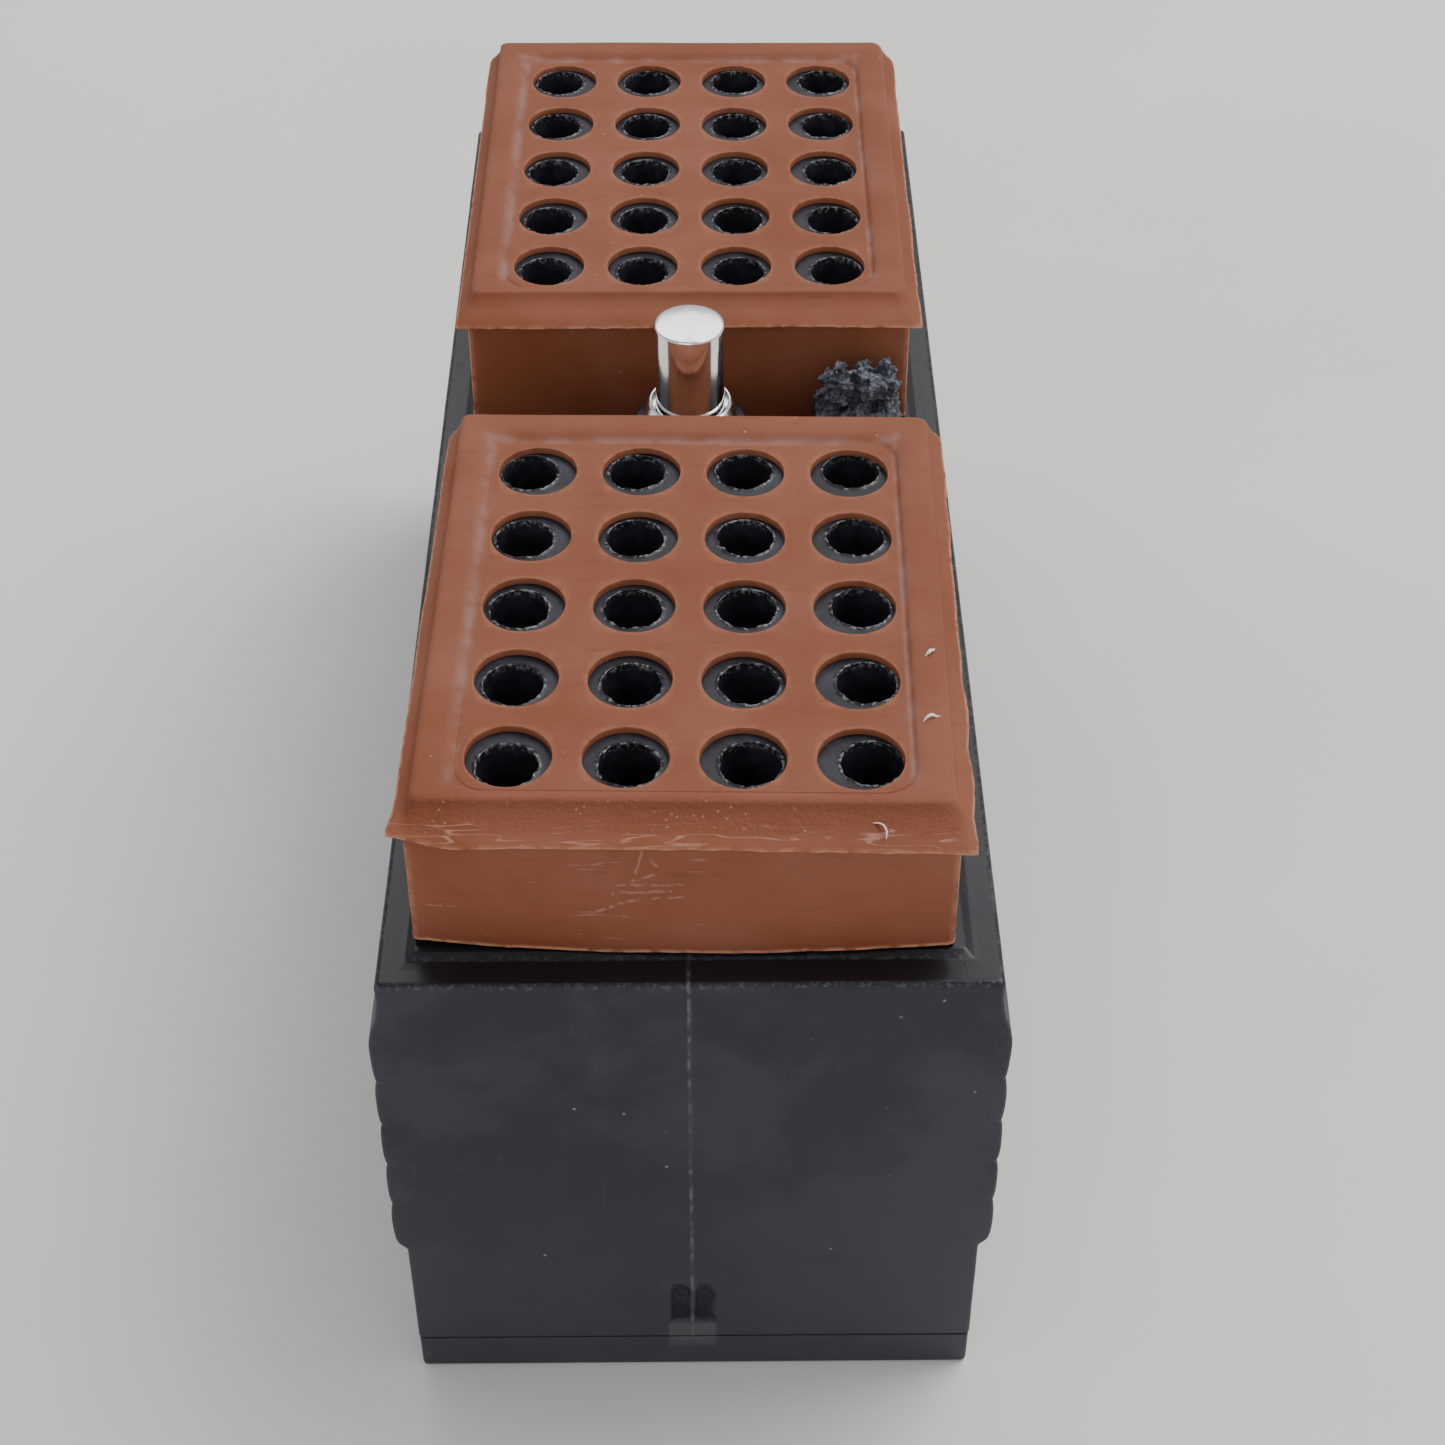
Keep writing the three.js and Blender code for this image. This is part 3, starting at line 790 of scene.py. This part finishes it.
def wall_ring(hx, hy, radius, z):
    """A loop round the housing with the same number of points whatever its size."""
    near_seam = (0.05, 0.15, 0.3, 0.5, 0.75, 1.0, 1.25, 1.5, 1.7, 1.9)
    far = [2.4 + 1.7 * k for k in range(10)]
    xs = sorted([SEAM_X + d for d in near_seam] + [SEAM_X - d for d in near_seam]
                + far + [-x for x in far])
    ys = [k / 30 for k in range(-30, 31)]
    run_x, run_y = hx - radius, hy - radius
    ring = [(x * run_x / 18.4, -hy) for x in xs]
    ring += arc(run_x, -run_y, radius, -90)
    ring += [(hx, y * run_y) for y in ys]
    ring += arc(run_x, run_y, radius, 0)
    ring += [(x * run_x / 18.4, hy) for x in reversed(xs)]
    ring += arc(-run_x, run_y, radius, 90)
    ring += [(-hx, y * run_y) for y in reversed(ys)]
    ring += arc(-run_x, -run_y, radius, 180)
    return [(x, y, z) for x, y in ring]


def arc(cx, cy, r, start, steps=5):
    turns = [math.radians(start + 90 * (k + 0.5) / steps) for k in range(steps)]
    return [(cx + r * math.cos(t), cy + r * math.sin(t)) for t in turns]


class PLUG_OT_housing(Piece, bpy.types.Operator):
    """Make the ribbed housing with its seam, gate mark, plinth and boss"""

    bl_idname = "plug.housing"
    bl_label = "Housing"

    RIB_BOTTOM, RIB_TOP, RIB_PITCH, RIBS = 14.2, 38.4, 4.1, 5
    PAD = 0.62  # how far all the grip pads stand out together
    HALF_LENGTH = 50.12
    BAND_TOP = 13.3  # the plain band below the ribs
    KEY_POCKET = (8.8, 15.8, 0.7, 5.5)

    def rib(self, z):
        """How far the grip pads stand out of the side wall."""
        if not self.BAND_TOP < z < self.RIB_TOP:
            return 0.0
        k = min(max(int((z - self.RIB_BOTTOM) / self.RIB_PITCH), 0), self.RIBS - 1)
        low = self.RIB_BOTTOM + k * self.RIB_PITCH
        last = k == self.RIBS - 1
        t = min(max((z - low) / (self.RIB_PITCH * (1.5 if last else 1.0)), 0.0), 1.0)
        swell = 1 - abs(2 * t - 1) ** 3
        notch = 0.16 * fade(min(z - low, 9.0 if last else low + self.RIB_PITCH - z), 0.0, 0.3)
        top = 1 - smooth(z, self.RIB_TOP - 4.6, self.RIB_TOP) if last else 1.0
        bottom = smooth(z, self.BAND_TOP + 0.05, self.BAND_TOP + 1.0)
        return (self.PAD * top + self.rib_height * swell * top - notch * (1.0 if k else 0.0)) * bottom

    def heights(self):
        foot, ledge = HOUSING_Z["foot"], HOUSING_Z["ledge"]
        flat = [foot + 0.12, foot + 0.5, 4.2, 4.55, 4.75, 4.95, 5.2, 5.6, 6.1, 6.7, 7.3, 7.9, 8.5, 9.0, 9.3,
                9.6, 9.9, 10.4, 11.5, 12.6, self.BAND_TOP]
        ribs = [13.4 + 0.2 * k for k in range(int((self.RIB_TOP - 13.4) / 0.2) + 1)]
        return flat + ribs + [38.6, 38.9, 39.15, ledge - 0.3]

    def wall(self, z):
        low, high = HOUSING_Z["foot"], HOUSING_Z["ledge"]
        return 19.0 - 0.2 * (z - low) / (high - low)

    def skin(self):
        foot, ledge, plinth = HOUSING_Z["foot"], HOUSING_Z["ledge"], HOUSING_Z["plinth"]
        length = self.HALF_LENGTH
        skin = Skin()
        rings = [wall_ring(self.wall(foot) - 0.06, length - 0.06, 0.3, foot)]
        rings += [wall_ring(self.wall(z) + self.rib(z), length, 0.3, z) for z in self.heights()]
        rings += [wall_ring(18.8 - a, length - a, 0.3, ledge - b)
                  for a, b in ((0.03, 0.18), (0.09, 0.08), (0.2, 0.02), (0.35, 0.0), (0.5, 0.0), (1.2, 0.0))]
        rings += [wall_ring(17.15, 48.2, 0.3, ledge), wall_ring(17.0, 48.06, 0.25, ledge + 0.03),
                  wall_ring(16.6, 47.6, 0.2, plinth - 0.03), wall_ring(16.5, 47.5, 0.2, plinth)]
        skin.loft(rings)
        pockets = windows(15.6, 19.6)
        boss = [(4.7, plinth), (4.4, plinth + 0.12), (4.3, plinth + 0.4), (4.3, 44.05), (4.22, 44.25),
                (4.0, 44.4), (3.5, 44.4), (3.4, 44.3), (3.4, 17.4), (2.75, 17.4), (2.75, 13.4),
                (SCREW_BORE, 13.4), (SCREW_BORE, foot)]
        key_mouth, key_floor = (rectangle(*self.KEY_POCKET, z) for z in (plinth, 38.0))
        skin.fill(rings[-1], *(rectangle(*p, plinth) for p in pockets), circle(0, 0, 4.7, plinth, 48),
                  key_mouth)
        for p in pockets:
            skin.loft([rectangle(*p, z) for z in (plinth, plinth - 0.5, foot + 0.5, foot)])
        skin.loft([circle(0, 0, r, z, 48) for r, z in boss])
        skin.strip(key_mouth, key_floor)
        skin.fill(key_floor)
        skin.fill(rings[0], *(rectangle(*p, foot) for p in pockets), circle(0, 0, SCREW_BORE, foot, 48))
        return skin

    def gate(self, p):
        """0 to 1 inside the two torn pits where the runner was broken off."""
        if p.y > -50.0 or not 4.6 < p.z < 10.2:
            return 0.0
        ragged = 0.22 * wobble(p.x, p.z, size=0.7)
        tall = smooth(p.z, 4.7, 5.2) * fade(p.z, 8.7 + ragged, 9.9 + ragged)
        half = 0.78 * smooth(11.4 - p.z, 0.5, 3.0)
        return tall * fade(abs(abs(p.x - SEAM_X) - 0.85) + ragged * 0.5, half * 0.7, half)

    def seam(self, p):
        on_wall = smooth(abs(p.y), 47.0, 47.5)
        line = SEAM_X + 0.05 * wobble(0.0, p.z, size=5.0)
        return on_wall * fade(abs(p.x - line), 0.04, 0.17)

    def patch(self, p):
        """0 to 1 on the ground-off rectangle below the gate, which runs on into the cover."""
        return on_patch(p.x) * fade(abs(p.z - 3.55), 1.15, 1.35) * smooth(-p.y, 50.0, 50.05)

    def move(self, p):
        ragged = 0.45 + 0.55 * wobble(p.x, p.z, p.y, size=0.9)
        out = self.seam_height * self.seam(p) * max(ragged, 0.0)
        if abs(p.y) > 50.0:
            p.y += math.copysign(out, p.y) + 0.28 * self.gate(p)
        elif p.z > 39.0:
            p.z += out
        if p.z < 44 and abs(p.x) > 18:
            p.x += math.copysign(0.03 * wobble(p.x, p.y, p.z, size=2.5), p.x)
        return p

    def edge(self, p):
        ends = smooth(abs(p.y), self.HALF_LENGTH - 0.3, self.HALF_LENGTH - 0.1)
        flanks = smooth(abs(p.x), 18.5, 18.65)
        top = smooth(p.z, 39.3, 39.55) * max(ends, flanks)
        corner = smooth(abs(p.x), 18.3, 18.7) * smooth(abs(p.y), 49.8, 49.95) * smooth(p.z, 13.0, 14.0)
        # painted highlight: a thin pale line along the plinth's bevel
        bevel = fade(abs(abs(p.y) - 48.06), 0.05, 0.12) * fade(abs(p.z - 39.73), 0.02, 0.05)
        return max(top, corner * 0.15, bevel * 0.5)

    def execute(self, context):
        sizes, paint = context.scene.plug_sizes, context.scene.plug_colours
        self.seam_height, self.rib_height = sizes.seam_height / MM, sizes.rib_height / MM
        marks = {"edge": self.edge, "seam": self.seam,
                 # the ledge tops: glossy, and painted near black in the finish for their shade and dark
                 # reflection
                 "ledge_gloss_and_shade": lambda p: smooth(p.z, 39.55, 39.7), "pit": self.gate, "patch": self.patch}
        obj = self.skin().build("housing_shell", self.move, marks, crease=32.0)
        self.install(obj, housing_finish(tuple(paint.housing)), SHELL, "black_plastic", "housing")
        return {"FINISHED"}


class PLUG_OT_rear_cover(Piece, bpy.types.Operator):
    """Make the rear cover with its wire windows"""

    bl_idname = "plug.rear_cover"
    bl_label = "Rear cover"

    def execute(self, context):
        top = COVER_HIGH.z + 0.24
        hx, hy = COVER_HIGH.x, COVER_HIGH.y
        skin = Skin()
        rows = [(0.3, 0.0), (0.12, 0.05), (0.03, 0.16), (0.0, 0.35), (0.0, 2.0), (0.0, 2.3)]
        rows += [(0.0, top - 0.05), (0.05, top)]
        rings = [wall_ring(hx - inset, hy - inset, 0.3, z) for inset, z in rows]
        skin.loft(rings)
        openings = windows(13.4, 17.4)
        for ring, z in ((rings[0], 0.0), (rings[-1], top)):
            skin.fill(ring, *(rectangle(*w, z) for w in openings), circle(0, 0, SCREW_BORE, z, 48))
        for w in openings:
            skin.strip(rectangle(*w, 0.0), rectangle(*w, top))
        skin.strip(circle(0, 0, SCREW_BORE, 0.0, 48), circle(0, 0, SCREW_BORE, top, 48))
        marks = {"edge": lambda p: 0.3 * fade(p.z, 0.0, 0.3),
                 "patch": lambda p: smooth(-p.y, 50.0, 50.05) * smooth(p.z, 2.2, 2.4) * on_patch(p.x)}
        obj = skin.build("rear_cover_plate", None, marks, crease=32.0)
        finish = housing_finish(tuple(context.scene.plug_colours.housing))
        self.install(obj, finish, SHELL, "black_plastic", "rear_cover")
        return {"FINISHED"}


# ---- slivers of flash -----------------------------------------------------------------------

class PLUG_OT_slivers(Piece, bpy.types.Operator):
    """Make the torn slivers of flash that cling to the front seal"""

    bl_idname = "plug.slivers"
    bl_label = "Flash slivers"

    # start, heading in degrees, length, half width, curl in degrees, lift
    SLIVERS = (
        ((14.6, -32.1, 49.82), 25, 1.0, 0.1, 50, 0.25),
        ((14.1, -38.1, 49.82), 40, 1.2, 0.08, -35, 0.3),
        ((11.4, -47.2, 49.05), 75, 2.0, 0.06, 120, 0.25),
        ((14.6, -45.2, 49.4), 100, 1.6, 0.05, -90, 0.2),
    )
    STEPS = 14

    def ribbon(self, start, heading, length, width, curl, lift):
        skin = Skin()
        at, stations = Vector(start), []
        for k in range(self.STEPS + 1):
            t = k / self.STEPS
            a = math.radians(heading + curl * t)
            ahead = Vector((math.cos(a), math.sin(a), 0.0))
            half = width * (0.3 + 0.7 * math.sin(math.pi * t)) * (1 + 0.5 * wobble(at.x, at.y, at.z, 0.3))
            side = Vector((-math.sin(a), math.cos(a), 0.4)).normalized() * half
            up = Vector((0, 0, 0.025))
            centre = at + Vector((0, 0, lift * math.sin(math.pi * min(t * 1.2, 1.0))))
            stations.append([centre - side - up, centre + side - up, centre + side + up, centre - side + up])
            at = at + ahead * length / self.STEPS
        skin.loft(stations)
        skin.face(*stations[0])
        skin.face(*stations[-1])
        return skin

    def execute(self, context):
        pale = rubber_finish("pale flash", (0.85, 0.78, 0.72), 0.45)
        for number, sliver in enumerate(self.SLIVERS, 1):
            obj = self.ribbon(*sliver).build(f"flash_sliver_{number}", crease=60.0)
            self.install(obj, pale, SHELL, "rust_silicone")
        return {"FINISHED"}


# ---- jackscrew and its small parts -----------------------------------------------------

class PLUG_OT_jackscrew(Piece, bpy.types.Operator):
    """Make the plated jackscrew with its driver socket"""

    bl_idname = "plug.jackscrew"
    bl_label = "Jackscrew"

    HEX_R, HEX_DEPTH, MOUTH_R = 2.31, 4, 2.85  # the driver socket in the foot

    def execute(self, context):
        low, high = span("jackscrew")
        head, shank, sides = high.x, 2.5, 96
        groove = span("retaining_ring")[0].z - 0.2
        rows = [(self.MOUTH_R, low.z), (head - 0.35, low.z), (head - 0.1, low.z + 0.1),
                (head - 0.02, low.z + 0.35),
                (head - 0.02, low.z + 5.7), (head - 0.12, low.z + 5.9), (head - 0.3, low.z + 5.98),
                (shank + 0.15, low.z + 5.98), (shank - 0.02, low.z + 6.2), (shank - 0.02, groove),
                (2.1, groove + 0.02), (2.1, groove + 1.38), (shank - 0.02, groove + 1.4),
                (shank - 0.02, high.z - 0.22), (shank - 0.04, high.z - 0.12), (shank - 0.09, high.z - 0.05),
                (shank - 0.16, high.z - 0.02), (shank - 0.3, high.z - 0.01), (1.2, high.z), (0.0, high.z)]
        skin = turned(rows, sides)
        corners = [(self.HEX_R * math.cos(math.pi * k / 3), self.HEX_R * math.sin(math.pi * k / 3))
                   for k in range(6)]
        hexagon = []
        for (ax, ay), (bx, by) in zip(corners, corners[1:] + corners[:1]):
            hexagon += [(ax + (bx - ax) * t / 4, ay + (by - ay) * t / 4) for t in range(4)]
        mouth = [(x * 1.06, y * 1.06, low.z) for x, y in hexagon]
        skin.fill(circle(0, 0, self.MOUTH_R, low.z, sides), mouth)
        throat, end = ([(x, y, low.z + z) for x, y in hexagon] for z in (0.15, self.HEX_DEPTH))
        skin.loft([mouth, throat, end])
        skin.fill(end)
        obj = skin.build("jackscrew_body", crease=30.0)
        self.install(obj, steel_finish(tuple(context.scene.plug_colours.steel)), TURN, "bright_steel",
                     "jackscrew")
        return {"FINISHED"}


class PLUG_OT_screw_fittings(Piece, bpy.types.Operator):
    """Make the split retaining ring, thrust washer, guide sleeve and O-ring of the jackscrew"""

    bl_idname = "plug.screw_fittings"
    bl_label = "Screw fittings"

    def ring(self):
        """A flared ring sprung into the screw's groove, split at the back."""
        low, high = span("retaining_ring")
        r = high.x
        rows = [(2.27, low.z + 0.03), (r - 0.12, low.z + 0.02), (r - 0.03, low.z + 0.1),
                (r - 0.02, low.z + 0.45), (r - 0.06, low.z + 0.75), (r - 0.2, low.z + 1.15),
                (r - 0.34, high.z - 0.1), (r - 0.45, high.z - 0.02), (2.82, high.z - 0.04),
                (2.74, high.z - 0.12), (2.72, low.z + 1.05), (2.27, low.z + 0.97)]
        gap, steps = math.radians(9), 80
        skin = Skin()
        stations = []
        for k in range(steps + 1):
            a = math.pi / 2 + gap + (2 * math.pi - 2 * gap) * k / steps
            stations.append([(rr * math.cos(a), rr * math.sin(a), z) for rr, z in rows])
        skin.loft(stations)
        skin.face(*stations[0])
        skin.face(*reversed(stations[-1]))
        return skin

    def tube(self, node, bevel):
        low, high = span(node)
        r, inner = high.x, {"thrust_washer": 2.7, "shank_o_ring": 2.62, "guide_sleeve": 2.68}[node]
        if node == "shank_o_ring":
            mid, half_r, half_z = (low.z + high.z) / 2, (r - inner) / 2, (high.z - low.z) / 2
            rows = [((r + inner) / 2 + half_r * math.cos(t), mid + half_z * math.sin(t))
                    for t in (2 * math.pi * k / 20 for k in range(21))]
        else:
            rows = [(inner, low.z + bevel), (inner + bevel, low.z), (r - bevel, low.z), (r, low.z + bevel),
                    (r, high.z - bevel), (r - bevel, high.z), (inner + bevel, high.z),
                    (inner, high.z - bevel), (inner, low.z + bevel)]
        return turned(rows, 64)

    def execute(self, context):
        paint = context.scene.plug_colours
        plated = plain_metal_finish("plated fittings", tuple(paint.steel), 0.16)
        rubber = rubber_finish("nitrile rubber", (0.02, 0.02, 0.02), 0.5)
        obj = self.ring().build("retaining_ring_split", crease=30.0)
        self.install(obj, plated, FLOAT, "bright_steel", "retaining_ring")
        for node, bevel, body in (("thrust_washer", 0.12, FLOAT), ("guide_sleeve", 0.06, SHELL)):
            obj = self.tube(node, bevel).build(f"{node}_plated", crease=30.0)
            self.install(obj, plated, body, "bright_steel", node)
        obj = self.tube("shank_o_ring", 0.0).build("shank_o_ring_round", crease=60.0)
        self.install(obj, rubber, SHELL, "nitrile", "shank_o_ring")
        return {"FINISHED"}


# ---- polarising key ---------------------------------------------------------------------

class PLUG_OT_key(Piece, bpy.types.Operator):
    """Make the polarising key with its torn, crumbly top"""

    bl_idname = "plug.key"
    bl_label = "Polarising key"

    VOXEL = 0.13
    CHUNKS = 95
    HEAP_FOOT, STUMP_TOP = 43.4, 43.9
    DIP_X = 13.6  # the heap is broken lower here

    def lumps(self, low, high):
        """Seeded broken chunks heaped on the key's stump: (centre, half sizes, turn)."""
        rng = random.Random(41)
        centre_x, centre_y = (low.x + high.x) / 2, (low.y + high.y) / 2
        half_x, half_y = (high.x - low.x) / 2, (high.y - low.y) / 2
        heap = []
        for _ in range(self.CHUNKS):
            level = rng.random()
            shrink = 1.0 - 0.2 * level
            x = centre_x + rng.uniform(-1, 1) * (half_x - 0.35) * shrink
            y = centre_y + rng.uniform(-1, 1) * (half_y - 0.5) * shrink
            shoulders = 0.9 * smooth(abs(x - centre_x), 1.6, 3.2)
            top = high.z - 0.6 - shoulders - 0.5 * fade(abs(x - self.DIP_X), 0.2, 0.9)
            z = self.HEAP_FOOT + (top - self.HEAP_FOOT) * level
            size = [rng.uniform(0.22, 0.6) for _ in range(3)]
            heap.append((Vector((x, y, z)), size, [rng.uniform(-1.2, 1.2) for _ in range(3)]))
        return heap

    def execute(self, context):
        low, high = span("polarising_key")
        bm = bmesh.new()
        cx, cy = (low.x + high.x) / 2, (low.y + high.y) / 2
        stump = Matrix.Translation((cx, cy, (low.z + self.STUMP_TOP) / 2))
        size = (high.x - low.x - 0.5, high.y - low.y - 0.4, self.STUMP_TOP - low.z)
        bmesh.ops.create_cube(bm, size=1.0, matrix=stump @ Matrix.Diagonal((*size, 1.0)))
        for centre, half, turn in self.lumps(low, high):
            spin = Matrix.Rotation(turn[0], 4, "X") @ Matrix.Rotation(turn[1], 4, "Y")
            spin @= Matrix.Rotation(turn[2], 4, "Z")
            scale = Matrix.Diagonal((*(2 * h for h in half), 1.0))
            bmesh.ops.create_cube(bm, size=1.0, matrix=Matrix.Translation(centre) @ spin @ scale)
        mesh = bpy.data.meshes.new("key_blocks")
        bm.to_mesh(mesh)
        bm.free()
        rough = bpy.data.objects.new("key_blocks", mesh)
        context.scene.collection.objects.link(rough)
        remesh = rough.modifiers.new("remesh", "REMESH")
        remesh.mode = "VOXEL"
        remesh.voxel_size = self.VOXEL
        depsgraph = context.evaluated_depsgraph_get()
        fine = bpy.data.meshes.new_from_object(rough.evaluated_get(depsgraph))
        bpy.data.objects.remove(rough)
        normals = [v.normal.copy() for v in fine.vertices]  # before the points move
        torn = []
        for vertex, normal in zip(fine.vertices, normals):
            p = vertex.co
            loose = smooth(p.z, 42.6, 44.2)
            grit = noise.turbulence(p / 0.55, 3, False) - 0.5
            p += normal * (0.34 * loose * grit + 0.03 * wobble(p.x, p.y, p.z, 0.4))
            torn.append(loose)
            for axis in range(3):
                p[axis] = min(max(p[axis], low[axis] + 0.03), high[axis] - 0.03)
            vertex.co = p * MM
        attribute = fine.attributes.new("torn", "FLOAT", "POINT")
        attribute.data.foreach_set("value", torn)
        fine.materials.clear()
        obj = finish_mesh("key_torn", fine, 48.0)
        self.install(obj, key_finish(tuple(context.scene.plug_colours.key)), SHELL, "key_plastic",
                     "polarising_key")
        return {"FINISHED"}


# ---- parts inside -------------------------------------------------------------------------

class PLUG_OT_inner_parts(Piece, bpy.types.Operator):
    """Finish the clips, and make the clip carriers and wire grommets"""

    bl_idname = "plug.inner_parts"
    bl_label = "Inner parts"

    def block(self, node, r, web):
        """A pierced block in the node's place, with eased edges and countersunk holes."""
        low, high = span(node)
        hx, hy = (high.x - low.x) / 2, (high.y - low.y) / 2
        depth = high.z - low.z
        pierced = PiercedBlock((7.25, 7.25), hx - 1.1, hy - 1.1, 0.4, 8)
        pierced.field(0.0, r + 0.18, 2)
        pierced.bores([(r + 0.18, 0.0), (r + 0.05, -0.06), (r, -0.2)]
                      + [(r - web * (1 - abs(2 * k / 6 - 1)), -0.2 - (depth - 0.4) * k / 6)
                         for k in range(7)]
                      + [(r + 0.05, 0.06 - depth), (r + 0.18, -depth)])
        pierced.field(-depth, r + 0.18, 2)
        pierced.sides([(hx - 1.1, hy - 1.1, 0.4, 0.0), (hx - 0.2, hy - 0.2, 0.4, 0.0),
                       (hx - 0.04, hy - 0.04, 0.4, -0.1), (hx, hy, 0.4, -0.3), (hx, hy, 0.4, 0.3 - depth),
                       (hx - 0.04, hy - 0.04, 0.4, 0.1 - depth), (hx - 0.2, hy - 0.2, 0.4, -depth),
                       (hx - 1.1, hy - 1.1, 0.4, -depth)])
        home = Vector(((low.x + high.x) / 2, (low.y + high.y) / 2, high.z))
        return pierced.skin, lambda p: p + home

    def execute(self, context):
        paint = context.scene.plug_colours
        insert = insert_finish(tuple(paint.insert))
        silicone = silicone_finish(tuple(paint.silicone))
        bronze = plain_metal_finish("spring bronze", tuple(paint.bronze), 0.3)
        for side in SIDES:
            skin, place = self.block(f"clip_carrier_{side}", 2.3, 0.0)
            obj = skin.build(f"carrier_{side}", place)
            self.install(obj, insert, SHELL, "insert_plastic", f"clip_carrier_{side}")
            skin, place = self.block(f"wire_grommet_{side}", 1.35, 0.12)
            obj = skin.build(f"grommet_{side}", place)
            self.install(obj, silicone, SHELL, "rust_silicone", f"wire_grommet_{side}")
            for row in range(1, ROWS + 1):
                for column in range(1, COLUMNS + 1):
                    self.repaint(bronze, f"contact_clip_{side}_r{row}c{column}")
        return {"FINISHED"}


# ---- stage ----------------------------------------------------------------------------------

class PLUG_OT_stage(bpy.types.Operator):
    """Make the pale floor, the soft lights and the camera"""

    bl_idname = "plug.stage"
    bl_label = "Stage"
    bl_options = {"REGISTER", "UNDO"}

    CAMERA_AT = (0.00107, -0.1505, 0.1536)
    TILT, ROLL, YAW = 42.74, -0.24, 0.79
    LENS = 63.38
    SHIFT = (-0.00692, 0.00104)
    # name, place, aim, size, watts, tint
    LAMPS = (
        ("key_light", (0.55, 0.3, 1.0), (0.0, 0.0, 0.0), (0.7, 0.7), 8.5, (1.0, 0.99, 0.97)),
        ("back_light", (-0.05, 1.0, 1.0), (0.0, 0.0, 0.03), (1.0, 0.55), 3.7, (1.0, 1.0, 1.0)),
        ("front_light", (-0.3, -1.2, 0.5), (0.0, 0.0, 0.02), (0.9, 0.5), 1.8, (1.0, 0.98, 0.96)),
    )
    FLOOR_HALF, FLOOR_Z = 3, -0.00002  # just below the foot, so that the two faces don't coincide

    def camera(self, scene):
        data = bpy.data.cameras.new("camera")
        data.sensor_width = 36.0
        data.lens = self.LENS
        data.shift_x, data.shift_y = self.SHIFT
        data.clip_start, data.clip_end = 0.005, 20.0
        obj = bpy.data.objects.new("camera", data)
        scene.collection.objects.link(obj)
        yaw, tilt, roll = (math.radians(a) for a in (self.YAW, self.TILT, self.ROLL))
        turn = Matrix.Rotation(-yaw, 4, "Z") @ Matrix.Rotation(math.pi / 2 - tilt, 4, "X")
        turn @= Matrix.Rotation(-roll, 4, "Z")
        obj.matrix_world = Matrix.Translation(self.CAMERA_AT) @ turn
        scene.camera = obj

    def lamp(self, scene, name, place, aim, size, watts, tint):
        data = bpy.data.lights.new(name, "AREA")
        data.shape = "RECTANGLE"
        data.size, data.size_y = size
        data.energy = watts
        data.color = tint
        obj = bpy.data.objects.new(name, data)
        scene.collection.objects.link(obj)
        facing = (Vector(aim) - Vector(place)).to_track_quat("-Z", "Y")
        obj.matrix_world = Matrix.Translation(place) @ facing.to_matrix().to_4x4()

    def floor(self, scene, tint):
        mesh = bpy.data.meshes.new("floor")
        corners = [(x * self.FLOOR_HALF, y * self.FLOOR_HALF, self.FLOOR_Z)
                   for x, y in ((-1, -1), (1, -1), (1, 1), (-1, 1))]
        mesh.from_pydata(corners, [], [(0, 1, 2, 3)])
        f = Finish("pale floor")
        cloud = f.noise(60.0, 3.0)
        base = f.mix(darker(tint, 0.05), lighter(tint, 0.03), f.ramp(cloud, 0.3, 0.7))
        mesh.materials.append(f.surface(Base_Color=base, Roughness=0.85 + 0.1 * cloud))
        obj = bpy.data.objects.new("floor", mesh)
        scene.collection.objects.link(obj)

    def execute(self, context):
        scene = context.scene
        self.camera(scene)
        self.floor(scene, tuple(scene.plug_colours.floor))
        for lamp in self.LAMPS:
            self.lamp(scene, *lamp)
        world = bpy.data.worlds.new("studio")
        world.use_nodes = True
        background = next(n for n in world.node_tree.nodes if n.type == "BACKGROUND")
        background.inputs["Color"].default_value = (0.95, 0.96, 1.0, 1.0)
        background.inputs["Strength"].default_value = 0.6
        scene.world = world
        return {"FINISHED"}


# ---- add-on ---------------------------------------------------------------------------------

PIECES = (
    PLUG_OT_seals, PLUG_OT_slivers, PLUG_OT_inserts, PLUG_OT_housing, PLUG_OT_rear_cover,
    PLUG_OT_jackscrew, PLUG_OT_screw_fittings, PLUG_OT_key, PLUG_OT_inner_parts, PLUG_OT_stage,
)


class PLUG_PT_panel(bpy.types.Panel):
    """Lists the sizes, the colours and the pieces of the plug"""

    bl_idname = "PLUG_PT_panel"
    bl_label = "Sealed connector plug"
    bl_space_type = "VIEW_3D"
    bl_region_type = "UI"
    bl_category = "Plug"

    def draw(self, context):
        for group in (context.scene.plug_sizes, context.scene.plug_colours):
            box = self.layout.box()
            for name in group.bl_rna.properties.keys():
                if name not in ("rna_type", "name"):
                    box.prop(group, name)
        for piece in PIECES:
            self.layout.operator(piece.bl_idname)


CLASSES = (PlugSizes, PlugColours, *PIECES, PLUG_PT_panel)


def register():
    for cls in CLASSES:
        bpy.utils.register_class(cls)
    bpy.types.Scene.plug_sizes = PointerProperty(type=PlugSizes)
    bpy.types.Scene.plug_colours = PointerProperty(type=PlugColours)


def unregister():
    del bpy.types.Scene.plug_colours
    del bpy.types.Scene.plug_sizes
    for cls in reversed(CLASSES):
        bpy.utils.unregister_class(cls)


def main():
    register()
    bpy.ops.plug.seals()
    bpy.ops.plug.slivers()
    bpy.ops.plug.inserts()
    bpy.ops.plug.housing()
    bpy.ops.plug.rear_cover()
    bpy.ops.plug.jackscrew()
    bpy.ops.plug.screw_fittings()
    bpy.ops.plug.key()
    bpy.ops.plug.inner_parts()
    bpy.ops.plug.stage()


if __name__ == "__main__":
    main()
